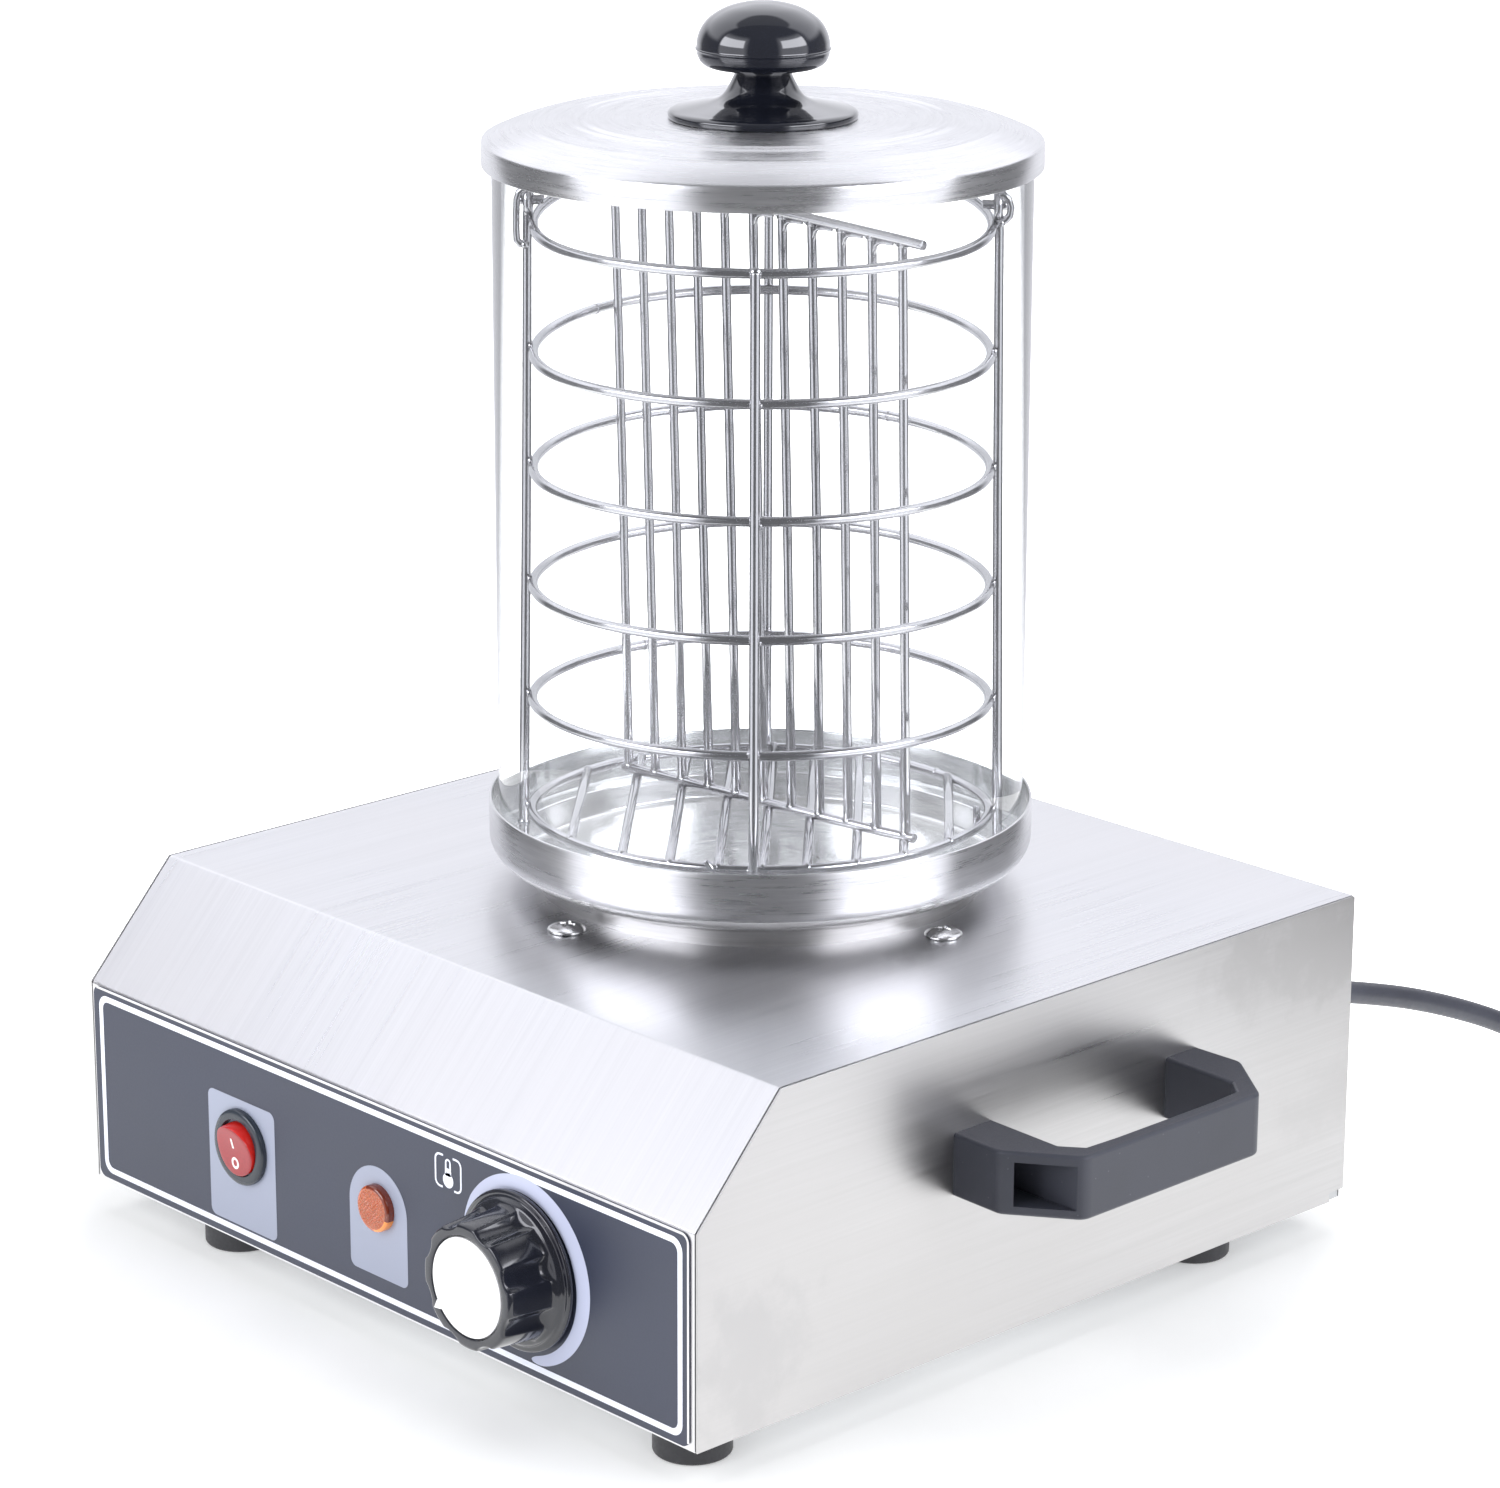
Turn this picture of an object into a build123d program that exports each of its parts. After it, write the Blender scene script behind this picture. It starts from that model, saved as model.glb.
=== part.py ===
from build123d import *
import math
import os

# ----------------------------------------------------------------------
# Hot dog cylinder warmer: a square sheet-metal heater housing with a
# removable water tray, a glass cylinder, a wire basket and a domed lid.
# Millimetres, +Z up, front towards -Y.
# The numbers below are in the drawing frame: z = 0 is the housing's
# underside, x = y = 0 is the housing's middle.  At the end every piece
# is moved by (0, SHIFT_Y, FOOT_H), which puts the origin at the middle of
# the object's footprint, on the surface that it stands on.
# ----------------------------------------------------------------------

# ---- driving dimensions ----------------------------------------------
W = 280.0            # housing width over the side panels
D = 275.0            # housing depth
H_FRONT = 65.0       # height of the vertical front face
H_TOP = 99.5         # height of the housing top
SLOPE_RUN = 31.5     # horizontal run of the sloping front edge
SHEET = 1.0          # sheet thickness
BEND_R = 1.4         # outer bend radius of the shell

FOOT_H = 12.0
FOOT_R = 11.5
FEET = [(118.0, -119.0), (118.0, 92.0), (-90.0, -119.0), (-90.0, 92.0)]

AXIS_Y = 18.0        # the cylinder's axis stands this far behind the middle
TOP_HOLE_R = 59.0
COLLAR_R = 70.0
COLLAR_IN_R = 62.0
COLLAR_H = 6.5
SCREW_PCR = 80.0     # screws round the collar
PLATE_R = 61.6
PLATE_T = 5.0

TRAY_R = 84.0
TRAY_Z0 = H_TOP + COLLAR_H      # 106.0 underside of the tray
TRAY_ZR = 126.7                 # tray rim
TRAY_T = 1.0
SEAT_Z = 115.0                  # ledge that the glass stands on

GLASS_R = 81.0
GLASS_T = 3.0
GLASS_Z1 = 330.1

RING_R = 69.5        # basket rings, centre line
WIRE = 1.5           # wire radius
RING_Z = [124.2, 159.2, 194.3, 229.8, 264.4, 302.3]
UPRIGHT_R = 71.9
LEG_Z = TRAY_Z0 + 1.25
EYE_Z = 307.5
EYE_R = 71.5
RUNG_OFF = [-55.5, -39.5, -25.0, -10.5, 2.5, 15.5, 30.0, 44.0, 57.5]

BAIL_R = 75.0
BAIL_WIRE = 1.4

LID_R = 84.0
LID_Z0 = 322.5
LID_T = 0.8
KNOB_Z = 336.2       # underside of the lid knob's flange

PANEL_Y = -D / 2     # front face
OVER_T = 0.5         # front overlay thickness
FACE_Y = PANEL_Y - OVER_T
SWITCH = (-63.0, 32.0)
LAMP = (2.5, 32.0)
DIAL = (66.7, 32.5)
KNOB_P = 20.5        # control knob's projection from the overlay

HANDLE_Z0, HANDLE_Z1 = 48.8, 68.2

CORD_R = 3.6
GLAND = (110.0, 59.6)           # x, z on the rear panel
REAR_SCREW_P = 2.0

SHIFT_Y = ((-FACE_Y + KNOB_P) - (D / 2 + REAR_SCREW_P)) / 2.0

os.makedirs("parts", exist_ok=True)
OUT = {}


def put(name, shape):
    """Keep a node's solids, moved to the part's own frame."""
    solids = []
    items = shape if isinstance(shape, (list, tuple)) else [shape]
    for s in items:
        solids += list(s.solids())
    moved = [Pos(0, SHIFT_Y, FOOT_H) * s for s in solids]
    OUT[name] = moved[0] if len(moved) == 1 else Compound(children=moved)


def box(x0, x1, y0, y1, z0, z1):
    return Pos((x0 + x1) / 2, (y0 + y1) / 2, (z0 + z1) / 2) * Box(x1 - x0, y1 - y0, z1 - z0)


def cyl_z(x, y, z0, z1, r):
    return Pos(x, y, (z0 + z1) / 2) * Cylinder(r, z1 - z0)


def cyl_y(x, z, y0, y1, r):
    return Pos(x, (y0 + y1) / 2, z) * Rot(90, 0, 0) * Cylinder(r, y1 - y0)


def cyl_x(y, z, x0, x1, r):
    return Pos((x0 + x1) / 2, y, z) * Rot(0, 90, 0) * Cylinder(r, x1 - x0)


def turn(points, cx=0.0, cy=AXIS_Y, fillets=None):
    """Revolve a closed (R, z) profile about the vertical line at cx, cy."""
    pts = [(float(r), float(z)) for r, z in points]
    face = make_face(Polyline(*[(r, 0, z) for r, z in pts], close=True))
    return Pos(cx, cy, 0) * revolve(face, Axis.Z, 360)


def turn_y(points, x, z, y_face=FACE_Y):
    """Revolve a closed (R, projection) profile about a line along Y."""
    face = make_face(Polyline(*[(r, -p, 0) for r, p in points], close=True))
    return Pos(x, y_face, z) * revolve(face, Axis.Y, 360)


def wire_along(edge_or_wire, r):
    """A round wire swept along a planar path."""
    p = edge_or_wire
    start = p.position_at(0)
    tangent = p.tangent_at(0)
    prof = Plane(origin=start, z_dir=tangent) * Circle(r)
    return sweep(prof, path=p)


def ring(x, y, z, major, minor):
    return Pos(x, y, z) * Torus(major, minor)


def arc_pts(cx, cy, rx, ry, a0, a1, n):
    return [(cx + rx * math.cos(math.radians(a0 + (a1 - a0) * i / n)),
             cy + ry * math.sin(math.radians(a0 + (a1 - a0) * i / n))) for i in range(n + 1)]


def pan_head(r, h):
    """Pan head with a cross recess, flat underside at z = 0, top at z = h."""
    head = Cylinder(r, h, align=(Align.CENTER, Align.CENTER, Align.MIN))
    head = fillet(head.edges().sort_by(Axis.Z)[-1], min(h * 0.62, r * 0.5))
    w = r * 0.26
    ln = r * 1.05
    cut = Pos(0, 0, h) * (Box(ln, w, h * 1.0) + Box(w, ln, h * 1.0))
    return head - cut


def screw(r_head, h_head, r_shank, length):
    """Head above z = 0, shank below."""
    return pan_head(r_head, h_head) + Pos(0, 0, -length / 2) * Cylinder(r_shank, length)


# ----------------------------------------------------------------------
# Housing shell: one sheet folded into front, slope and top
# ----------------------------------------------------------------------
yf = PANEL_Y
slope = math.atan2(H_TOP - H_FRONT, SLOPE_RUN)
t = SHEET
# inner corners of the folded sheet
k1 = t * math.tan((math.pi / 2 - slope) / 2)
k2 = t * math.tan(slope / 2)
outer = [(yf, 0.0), (yf, H_FRONT), (yf + SLOPE_RUN, H_TOP), (D / 2, H_TOP)]
inner = [(yf + t, 0.0), (yf + t, H_FRONT - k1), (yf + SLOPE_RUN + k2, H_TOP - t), (D / 2, H_TOP - t)]
o_line = FilletPolyline(*[(0, a, b) for a, b in outer], radius=BEND_R)
i_line = FilletPolyline(*[(0, a, b) for a, b in inner], radius=BEND_R - t)
sk = make_face(list(o_line.edges()) + list(i_line.edges()) +
               [Line((0, *outer[0]), (0, *inner[0])).edge(), Line((0, *outer[-1]), (0, *inner[-1])).edge()])
shell = extrude(sk, amount=W - 2 * t, dir=(1, 0, 0))
shell = Pos(-(W / 2 - t), 0, 0) * shell
shell -= cyl_z(0, AXIS_Y, H_TOP - 5, H_TOP + 5, TOP_HOLE_R)
for a in (0, 90, 180, 270):
    sx = SCREW_PCR * math.cos(math.radians(a))
    sy = AXIS_Y + SCREW_PCR * math.sin(math.radians(a))
    shell -= cyl_z(sx, sy, H_TOP - 5, H_TOP + 5, 2.3)
shell -= cyl_y(SWITCH[0], SWITCH[1], yf - 5, yf + 5, 10.1)
shell -= cyl_y(LAMP[0], LAMP[1], yf - 5, yf + 5, 5.8)
shell -= cyl_y(DIAL[0], DIAL[1], yf - 5, yf + 5, 5.1)
put("housing_shell", shell)

# ---- side panels: flat plates standing outside the shell --------------
side_pts = [(yf, 0.0), (yf, H_FRONT), (yf + SLOPE_RUN, H_TOP), (D / 2, H_TOP),
            (D / 2, 3.0), (D / 2 - 6.5, 3.0), (D / 2 - 6.5, 0.0)]
side_face = make_face(Polyline(*[(0, a, b) for a, b in side_pts], close=True))
side = extrude(side_face, amount=t, dir=(1, 0, 0))
HANDLE_SCREW_Y = (-30.7, 59.0)
HANDLE_SCREW_Z = 0.5 * (HANDLE_Z0 + HANDLE_Z1)
right = Pos(W / 2 - t, 0, 0) * side
left = Pos(-W / 2, 0, 0) * side
for y in HANDLE_SCREW_Y:
    right -= cyl_x(y, HANDLE_SCREW_Z, W / 2 - 5, W / 2 + 5, 2.3)
    left -= cyl_x(y, HANDLE_SCREW_Z, -W / 2 - 5, -W / 2 + 5, 2.3)
put("side_panel_right", right)
put("side_panel_left", left)

# ---- rear panel with louvre slots, cord hole and screw holes ------------
rear = box(-(W / 2 - t), W / 2 - t, D / 2 - t, D / 2, 0.0, H_TOP - t)
REAR_SCREWS = [(-126.0, 12.0), (-126.0, 86.0), (0.0, 12.0), (0.0, 86.0), (126.0, 12.0), (126.0, 86.0)]
for x, z in REAR_SCREWS:
    rear -= cyl_y(x, z, D / 2 - 5, D / 2 + 5, 1.8)
rear -= cyl_y(GLAND[0], GLAND[1], D / 2 - 5, D / 2 + 5, 6.6)
for i in range(9):
    x = -84.0 + 14.0 * i
    rear -= Pos(x, D / 2, 52.0) * Rot(90, 0, 0) * extrude(Rot(0, 0, 90) * SlotOverall(30.0, 3.6), amount=6, both=True)
put("rear_panel", rear)

# ---- base plate with vent slots, foot holes and upturned rim -----------
bx, by = W / 2 - t - 0.2, D / 2 - t - 0.2
base = box(-bx, bx, -by, by, 0.0, t)
rim = box(-bx, bx, -by, by, t, 10.0) - box(-bx + t, bx - t, -by + t, by - t, t, 11.0)
base = base + rim
for x, y in FEET:
    base -= cyl_z(x, y, -2, 4, 2.2)
for j in range(2):
    for i in range(9):
        base -= Pos(-64.0 + 16.0 * i, -30.0 + 60.0 * j, 0) * extrude(Rot(0, 0, 90) * SlotOverall(34.0, 4.2), amount=4, both=True)
put("base_plate", base)

# ---- rubber feet and their screws ---------------------------------------
feet, fscr = [], []
for x, y in FEET:
    f = Pos(x, y, -FOOT_H) * Cylinder(FOOT_R, FOOT_H, align=(Align.CENTER, Align.CENTER, Align.MIN))
    f = fillet(f.edges().sort_by(Axis.Z)[0], 1.2)
    f -= cyl_z(x, y, -FOOT_H - 1, -FOOT_H + 6.5, 5.0)
    f -= cyl_z(x, y, -FOOT_H, 1, 2.2)
    feet.append(f)
    s = Pos(x, y, -FOOT_H + 6.5) * Rot(180, 0, 0) * screw(4.2, 2.4, 2.1, 12.5)
    n = Pos(x, y, t) * extrude(RegularPolygon(3.9, 6), amount=3.2)
    n -= cyl_z(x, y, 0, 6, 2.2)
    fscr.append(s)
    fscr.append(n)
put("feet", feet)
put("foot_screws", fscr)

# ---- front overlay: printed sheet on the front face ---------------------
ov = extrude(Plane(origin=(-0.35, FACE_Y + OVER_T, 32.65), x_dir=(1, 0, 0), z_dir=(0, -1, 0)) *
             RectangleRounded(275.3, 63.7, 3.0), amount=OVER_T)
ov -= cyl_y(SWITCH[0], SWITCH[1], yf - 5, yf + 5, 10.1)
ov -= cyl_y(LAMP[0], LAMP[1], yf - 5, yf + 5, 5.8)
ov -= cyl_y(DIAL[0], DIAL[1], yf - 5, yf + 5, 5.1)
put("front_overlay", ov)

# ---- rocker switch ------------------------------------------------------
RO_R, OP_R = 8.3, 8.9            # round rocker in a round opening
PIV = 0.5                       # pivot's projection in front of the overlay
sw = turn_y([(0, -23), (9.9, -23), (9.9, 0.0), (12.0, 0.0), (12.0, 1.3), (11.2, 2.2), (0, 2.2)], *SWITCH)
pocket = Pos(SWITCH[0], FACE_Y + 10.0, SWITCH[1]) * Rot(90, 0, 0) * extrude(
    Circle(OP_R), amount=14.0)
sw = sw - pocket
for dx in (-1.0, 1.0):          # spade terminals
    for dz in (-5.5, 5.5):
        sw = sw + box(SWITCH[0] + dx * 5 - 0.4, SWITCH[0] + dx * 5 + 0.4, FACE_Y + 22.5, FACE_Y + 31.0,
                      SWITCH[1] + dz - 2.4, SWITCH[1] + dz + 2.4)
put("rocker_switch_body", sw)

rk_prof = [(0.0, 3.0), (4.0, 3.2), (8.1, 3.95), (8.1, 1.0), (6.6, -2.8), (3.4, -5.6), (0, -6.2),
           (-3.4, -5.6), (-6.6, -2.8), (-8.1, 1.0), (-8.1, 3.95), (-4.0, 3.2)]
rk = extrude(make_face(Polyline(*[(0, -p, z) for z, p in rk_prof], close=True)), amount=RO_R, both=True,
             dir=(1, 0, 0))
rk = rk & (Rot(90, 0, 0) * extrude(Circle(RO_R), amount=20, both=True))
rk = Pos(0, PIV, 0) * rk                         # pivot on the local X axis
rk = Rot(10, 0, 0) * rk                          # off: lower half pressed in, upper half out
rk = Pos(SWITCH[0], FACE_Y - PIV, SWITCH[1]) * rk
put("rocker_button", rk)

# ---- pilot lamp -----------------------------------------------------------
lens = turn_y([(0, 0.0), (7.2, 0.0), (7.2, 1.9), (6.7, 2.6), (5.6, 2.9), (0, 3.1)], *LAMP)
put("pilot_lamp_lens", lens)
lb = turn_y([(0, -25), (4.2, -25), (4.2, -20), (5.6, -20), (5.6, 0.0), (0, 0)], *LAMP)
for dz in (-2.4, 2.4):
    lb = lb + cyl_y(LAMP[0], LAMP[1] + dz, FACE_Y + 24, FACE_Y + 32, 0.8)
put("pilot_lamp_body", lb)

# ---- thermostat, shaft, knob ------------------------------------------------
SH_R = 3.0
th = box(DIAL[0] - 19, DIAL[0] + 19, yf + t, yf + t + 26, DIAL[1] - 16, DIAL[1] + 16)
th = fillet(th.edges().filter_by(Axis.Y), 3.0)
th = th + cyl_y(DIAL[0], DIAL[1], FACE_Y - 4.6, yf + t + 1, 4.7)
th -= cyl_y(DIAL[0], DIAL[1], FACE_Y - 10, yf + t + 22, SH_R + 0.06)
for dx in (-9, 9):
    th = th + box(DIAL[0] + dx - 3, DIAL[0] + dx + 3, yf + t + 25, yf + t + 34, DIAL[1] - 0.4, DIAL[1] + 0.4)
put("thermostat_body", th)
nut = Pos(DIAL[0], FACE_Y, DIAL[1]) * Rot(90, 0, 0) * extrude(RegularPolygon(8.0, 6), amount=2.6)
nut -= cyl_y(DIAL[0], DIAL[1], FACE_Y - 6, FACE_Y + 3, 4.75)
put("thermostat_nut", nut)
shaft = cyl_y(DIAL[0], DIAL[1], FACE_Y - 16.0, yf + t + 18, SH_R)
shaft -= box(DIAL[0] - 5, DIAL[0] + 5, FACE_Y - 17, FACE_Y - 7.0, DIAL[1] + 1.9, DIAL[1] + 5)
put("thermostat_shaft", shaft)
kp = KNOB_P
kn = turn_y([(0, 0.9), (23.6, 0.9), (24.0, 1.4), (24.0, 2.6), (22.6, 4.2), (21.4, 4.6), (20.6, 5.0), (19.9, 8.0),
             (19.2, 16.0), (18.7, kp - 0.8), (17.9, kp), (0, kp)], *DIAL)
for i in range(8):
    a = math.radians(22.5 + 45 * i)
    kn -= Pos(DIAL[0] + 24.6 * math.cos(a), FACE_Y - kp / 2 - 5.0, DIAL[1] + 24.6 * math.sin(a)) * Rot(90, 0, 0) * Cylinder(6.6, kp - 1.0)
kn -= turn_y([(0, kp - 1.0), (15.2, kp - 1.0), (15.2, kp + 2), (0, kp + 2)], *DIAL)
kn -= turn_y([(6.5, 0), (18.2, 0), (16.8, kp - 4.5), (6.5, kp - 4.5)], *DIAL)
kn -= turn_y([(0, -1), (8.6, -1), (8.6, 5.2), (0, 5.2)], *DIAL)
bore = cyl_y(DIAL[0], DIAL[1], FACE_Y - 16.0, FACE_Y, SH_R)
bore -= box(DIAL[0] - 5, DIAL[0] + 5, FACE_Y - 17, FACE_Y - 7.0, DIAL[1] + 1.9, DIAL[1] + 5)
kn -= bore
put("control_knob", kn)
disc = turn_y([(0, kp - 1.0), (15.1, kp - 1.0), (15.1, kp - 0.1), (0, kp - 0.1)], *DIAL)
pa = math.radians(211)
disc -= Pos(DIAL[0] + 14.2 * math.cos(pa), FACE_Y - kp, DIAL[1] + 14.2 * math.sin(pa)) * Rot(90, 0, 0) * Cylinder(1.6, 6)
put("knob_face_disc", disc)
# capillary tube and sensing bulb, run back under the plate
cap_pts = [(DIAL[0], yf + t + 24.5, 40.0), (DIAL[0], yf + t + 40, 40.0), (74.0, -62.0, 52.0), (70.0, -30.0, 60.0),
           (52.0, -2.0, 66.4), (30.0, 6.0, 66.4)]
cap = wire_along(FilletPolyline(*cap_pts, radius=8.0), 0.9)
bulb = Pos(18.0, 10.4, 66.4) * Rot(0, 0, -20) * Rot(0, 90, 0) * Cylinder(2.6, 30.0)
put("thermostat_bulb", [cap + bulb])

# ---- collar, heating plate and what hangs below it -----------------------------
collar = turn([(COLLAR_IN_R, H_TOP), (COLLAR_R, H_TOP), (COLLAR_R, TRAY_Z0 - 0.8), (COLLAR_R - 0.8, TRAY_Z0),
               (COLLAR_IN_R, TRAY_Z0)])
lip = turn([(PLATE_R - 4.6, H_TOP), (COLLAR_IN_R + 0.5, H_TOP), (COLLAR_IN_R + 0.5, H_TOP + 1.0),
            (PLATE_R - 4.6, H_TOP + 1.0)])
put("heater_collar", collar + lip)
plate = cyl_z(0, AXIS_Y, H_TOP + 1.0, H_TOP + 1.0 + PLATE_T - 0.2, PLATE_R)
plate = fillet(plate.edges().sort_by(Axis.Z)[-1], 0.8)
put("heating_plate", plate)

EL_R, EL_r = 42.0, 3.2
EL_Z = H_TOP + 1.0 - EL_r
gap = 26.0                                       # open angle of the element's ring, at the front
arc = ThreePointArc(
    (EL_R * math.cos(math.radians(-90 + gap / 2)), AXIS_Y + EL_R * math.sin(math.radians(-90 + gap / 2)), EL_Z),
    (0, AXIS_Y + EL_R, EL_Z),
    (EL_R * math.cos(math.radians(-90 - gap / 2)), AXIS_Y + EL_R * math.sin(math.radians(-90 - gap / 2)), EL_Z))
el = wire_along(arc, EL_r)
for s in (-1, 1):
    ex = EL_R * math.cos(math.radians(-90 + s * gap / 2))
    ey = AXIS_Y + EL_R * math.sin(math.radians(-90 + s * gap / 2))
    el = el + Pos(ex, ey, EL_Z) * Sphere(EL_r) + cyl_z(ex, ey, 58.0, EL_Z, EL_r) + cyl_z(ex, ey, 50.0, 58.5, 1.6)
put("heating_element", el)

ins = cyl_z(0, AXIS_Y, 72.0, 90.0, 64.0)
shield = turn([(0, 71.0), (65.0, 71.0), (65.0, H_TOP - t - 1.0), (87.0, H_TOP - t - 1.0), (87.0, H_TOP - t),
               (64.0, H_TOP - t), (64.0, 72.0), (0, 72.0)])
for s in (-1, 1):
    ex = EL_R * math.cos(math.radians(-90 + s * gap / 2))
    ey = AXIS_Y + EL_R * math.sin(math.radians(-90 + s * gap / 2))
    ins -= cyl_z(ex, ey, 70, 92, 4.0)
    shield -= cyl_z(ex, ey, 70, 73, 4.6)
cs = []
for a in (0, 90, 180, 270):
    sx = SCREW_PCR * math.cos(math.radians(a))
    sy = AXIS_Y + SCREW_PCR * math.sin(math.radians(a))
    shield -= cyl_z(sx, sy, 95, 99, 2.3)
    cs.append(Pos(sx, sy, H_TOP) * Rot(0, 0, 20 + a * 0.7) * screw(5.5, 3.0, 2.2, 9.0))
    nt = Pos(sx, sy, H_TOP - t - 1.0 - 3.2) * extrude(RegularPolygon(4.1, 6), amount=3.2)
    nt -= cyl_z(sx, sy, 90, 99, 2.25)
    cs.append(nt)
put("insulation_pad", ins)
put("heat_shield", shield)
put("collar_screws", cs)

cut = cyl_z(-26.0, 40.0, 62.0, 71.0, 8.2)
cut = cut + box(-39.5, -33.0, 37.0, 43.0, 65.0, 66.0) + box(-19.0, -12.5, 37.0, 43.0, 65.0, 66.0)
put("thermal_cutout", cut)

tb = box(66.0, 104.0, 96.0, 112.0, t, 19.0)
for i in range(3):
    tb -= cyl_z(72.5 + 12.5 * i, 104.0, 12.0, 20.0, 3.2)
put("terminal_block", tb)
tbs = [cyl_z(72.5 + 12.5 * i, 104.0, 12.0, 16.5, 3.0) for i in range(3)]
put("terminal_screws", tbs)


def loom(points, radius, r=1.3):
    return wire_along(FilletPolyline(*points, radius=radius), r)


iw = []
# flexible lead inside the housing, from the rear gland down to the terminals
iw.append(wire_along(FilletPolyline((GLAND[0], D / 2 - t - 1.2, GLAND[1]), (GLAND[0], 118.0, 50.0), (100.0, 116.6, 26.0),
                                    (85.0, 112.2, 12.0), radius=6.0), 3.4))
# single wires
iw.append(loom([(72.5, 95.9, 10.0), (72.0, 60.0, 8.0), (10.0, 20.0, 30.0), (-26.0, 0.0, 40.0), (-58.2, -104.0, 37.5)], 10.0))
iw.append(loom([(85.0, 95.9, 10.0), (86.0, 40.0, 12.0), (82.0, -60.0, 26.0), (76.0, -98.0, 32.5)], 10.0))
iw.append(loom([(97.5, 95.9, 10.0), (112.0, 60.0, 20.0), (124.0, 20.0, 24.0), (126.5, -20.0, 24.0)], 8.0))
iw.append(loom([(-67.8, -104.0, 26.5), (-60.0, -60.0, 22.0), (-30.0, -40.0, 30.0), (-9.45, -22.92, 45.0), (-9.45, -22.92, 49.9)], 1.5))
iw.append(loom([(56.5, -98.0, 32.5), (50.0, -70.0, 40.0), (20.0, -40.0, 42.0), (9.45, -22.92, 45.0), (9.45, -22.92, 49.9)], 1.5))
iw.append(loom([(2.0, -104.8, 29.6), (0.0, -84.0, 20.0), (-30.0, -80.0, 14.0), (-52.0, -92.0, 20.0), (-57.2, -104.8, 26.5)], 3.0, 1.0))
put("internal_wires", iw)

# ---- earth stud on the right panel's inside -------------------------------------
es = cyl_x(-24.0, 24.0, W / 2 - t - 9.0, W / 2 - t, 2.0)
es = es + cyl_x(-24.0, 24.0, W / 2 - t - 5.6, W / 2 - t - 3.0, 3.8)
put("earth_stud", es)


# ---- side handles ------------------------------------------------------------------
def handle():
    """Right-hand handle in plan (x, y): a D-shaped grip with screw pockets."""
    o = [(140.0, -38.0), (158.5, -38.5), (178.5, -24.0), (178.5, 50.5), (157.0, 66.5), (140.0, 66.0)]
    body = extrude(make_face(Polyline(*[(a, b, 0) for a, b in o], close=True)), amount=HANDLE_Z1 - HANDLE_Z0)
    vert = body.edges().filter_by(Axis.Z)
    rounds = [e for e in vert if e.center().X > 150.0]
    body = fillet(rounds, 5.0)
    i = [(139.0, -22.0), (166.5, -22.8), (172.6, -18.0), (173.2, -6.0), (173.2, 35.0), (172.4, 46.5), (166.5, 51.5), (139.0, 52.0)]
    gapf = extrude(make_face(Polyline(*[(a, b, 0) for a, b in i], close=True)), amount=40, both=True)
    body = body - gapf
    tops = [e for e in body.edges() if abs(e.center().Z - (HANDLE_Z1 - HANDLE_Z0)) < 1e-3 or abs(e.center().Z) < 1e-3]
    tops = [e for e in tops if e.center().X > 145.0]
    try:
        body = fillet(tops, 1.1)
    except Exception:
        print("handle: top edges left sharp")
    h = HANDLE_Z1 - HANDLE_Z0
    # screw pockets, open through the slanting ends
    body -= Pos(0, 0, 0) * box(146.0, 190.0, -36.0, -25.4, 2.9, h - 3.1)
    body -= Pos(0, 0, 0) * box(146.0, 190.0, 53.4, 64.0, 2.9, h - 3.1)
    for y in HANDLE_SCREW_Y:
        body -= cyl_x(y, h / 2, 130.0, 150.0, 2.3)
    return Pos(0, 0, HANDLE_Z0) * body


hr = handle()
put("handle_right", hr)
put("handle_left", mirror(hr, about=Plane.YZ))
hs = []
for y in HANDLE_SCREW_Y:
    s = Pos(146.0, y, HANDLE_SCREW_Z) * Rot(0, 90, 0) * screw(4.4, 2.6, 2.1, 14.0)
    hs.append(s)
    hs.append(mirror(s, about=Plane.YZ))
    n = Pos(W / 2 - t, y, HANDLE_SCREW_Z) * Rot(0, -90, 0) * extrude(RegularPolygon(4.0, 6), amount=3.2)
    n -= cyl_x(y, HANDLE_SCREW_Z, 130, 142, 2.25)
    hs.append(n)
    hs.append(mirror(n, about=Plane.YZ))
put("handle_screws", hs)

# ---- rear panel screws and side rivets ------------------------------------------------
rs = []
for x, z in REAR_SCREWS:
    rs.append(Pos(x, D / 2, z) * Rot(-90, 0, 0) * screw(3.4, REAR_SCREW_P, 1.7, 6.0))
put("rear_screws", rs)

# ----------------------------------------------------------------------
# Tray: spun dish that stands on the collar; its ledge carries the glass
# ----------------------------------------------------------------------
tr = [(0, TRAY_Z0), (COLLAR_R - 2.0, TRAY_Z0)]
tr += arc_pts(70.0, SEAT_Z, 14.0, SEAT_Z - TRAY_Z0, -84, 0, 10)
tr += [(TRAY_R, TRAY_ZR - 0.4), (TRAY_R - 0.4, TRAY_ZR), (TRAY_R - TRAY_T + 0.2, TRAY_ZR), (TRAY_R - TRAY_T, TRAY_ZR - 0.2)]
tr += [(TRAY_R - TRAY_T, SEAT_Z + 0.8), (TRAY_R - TRAY_T - 0.8, SEAT_Z), (76.3, SEAT_Z), (75.6, SEAT_Z - 0.7), (75.4, 110.0),
       (74.9, 108.2), (73.8, TRAY_Z0 + 1.2), (0, TRAY_Z0 + 1.2)]
put("tray", turn(tr))

# ---- glass cylinder ----------------------------------------------------------
gi = GLASS_R - GLASS_T
gl = turn([(gi, SEAT_Z + 0.5), (gi + 0.5, SEAT_Z), (GLASS_R - 0.5, SEAT_Z), (GLASS_R, SEAT_Z + 0.5),
           (GLASS_R, GLASS_Z1 - 0.6), (GLASS_R - 0.6, GLASS_Z1), (gi + 0.6, GLASS_Z1), (gi, GLASS_Z1 - 0.6)])
put("glass_cylinder", gl)


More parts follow.
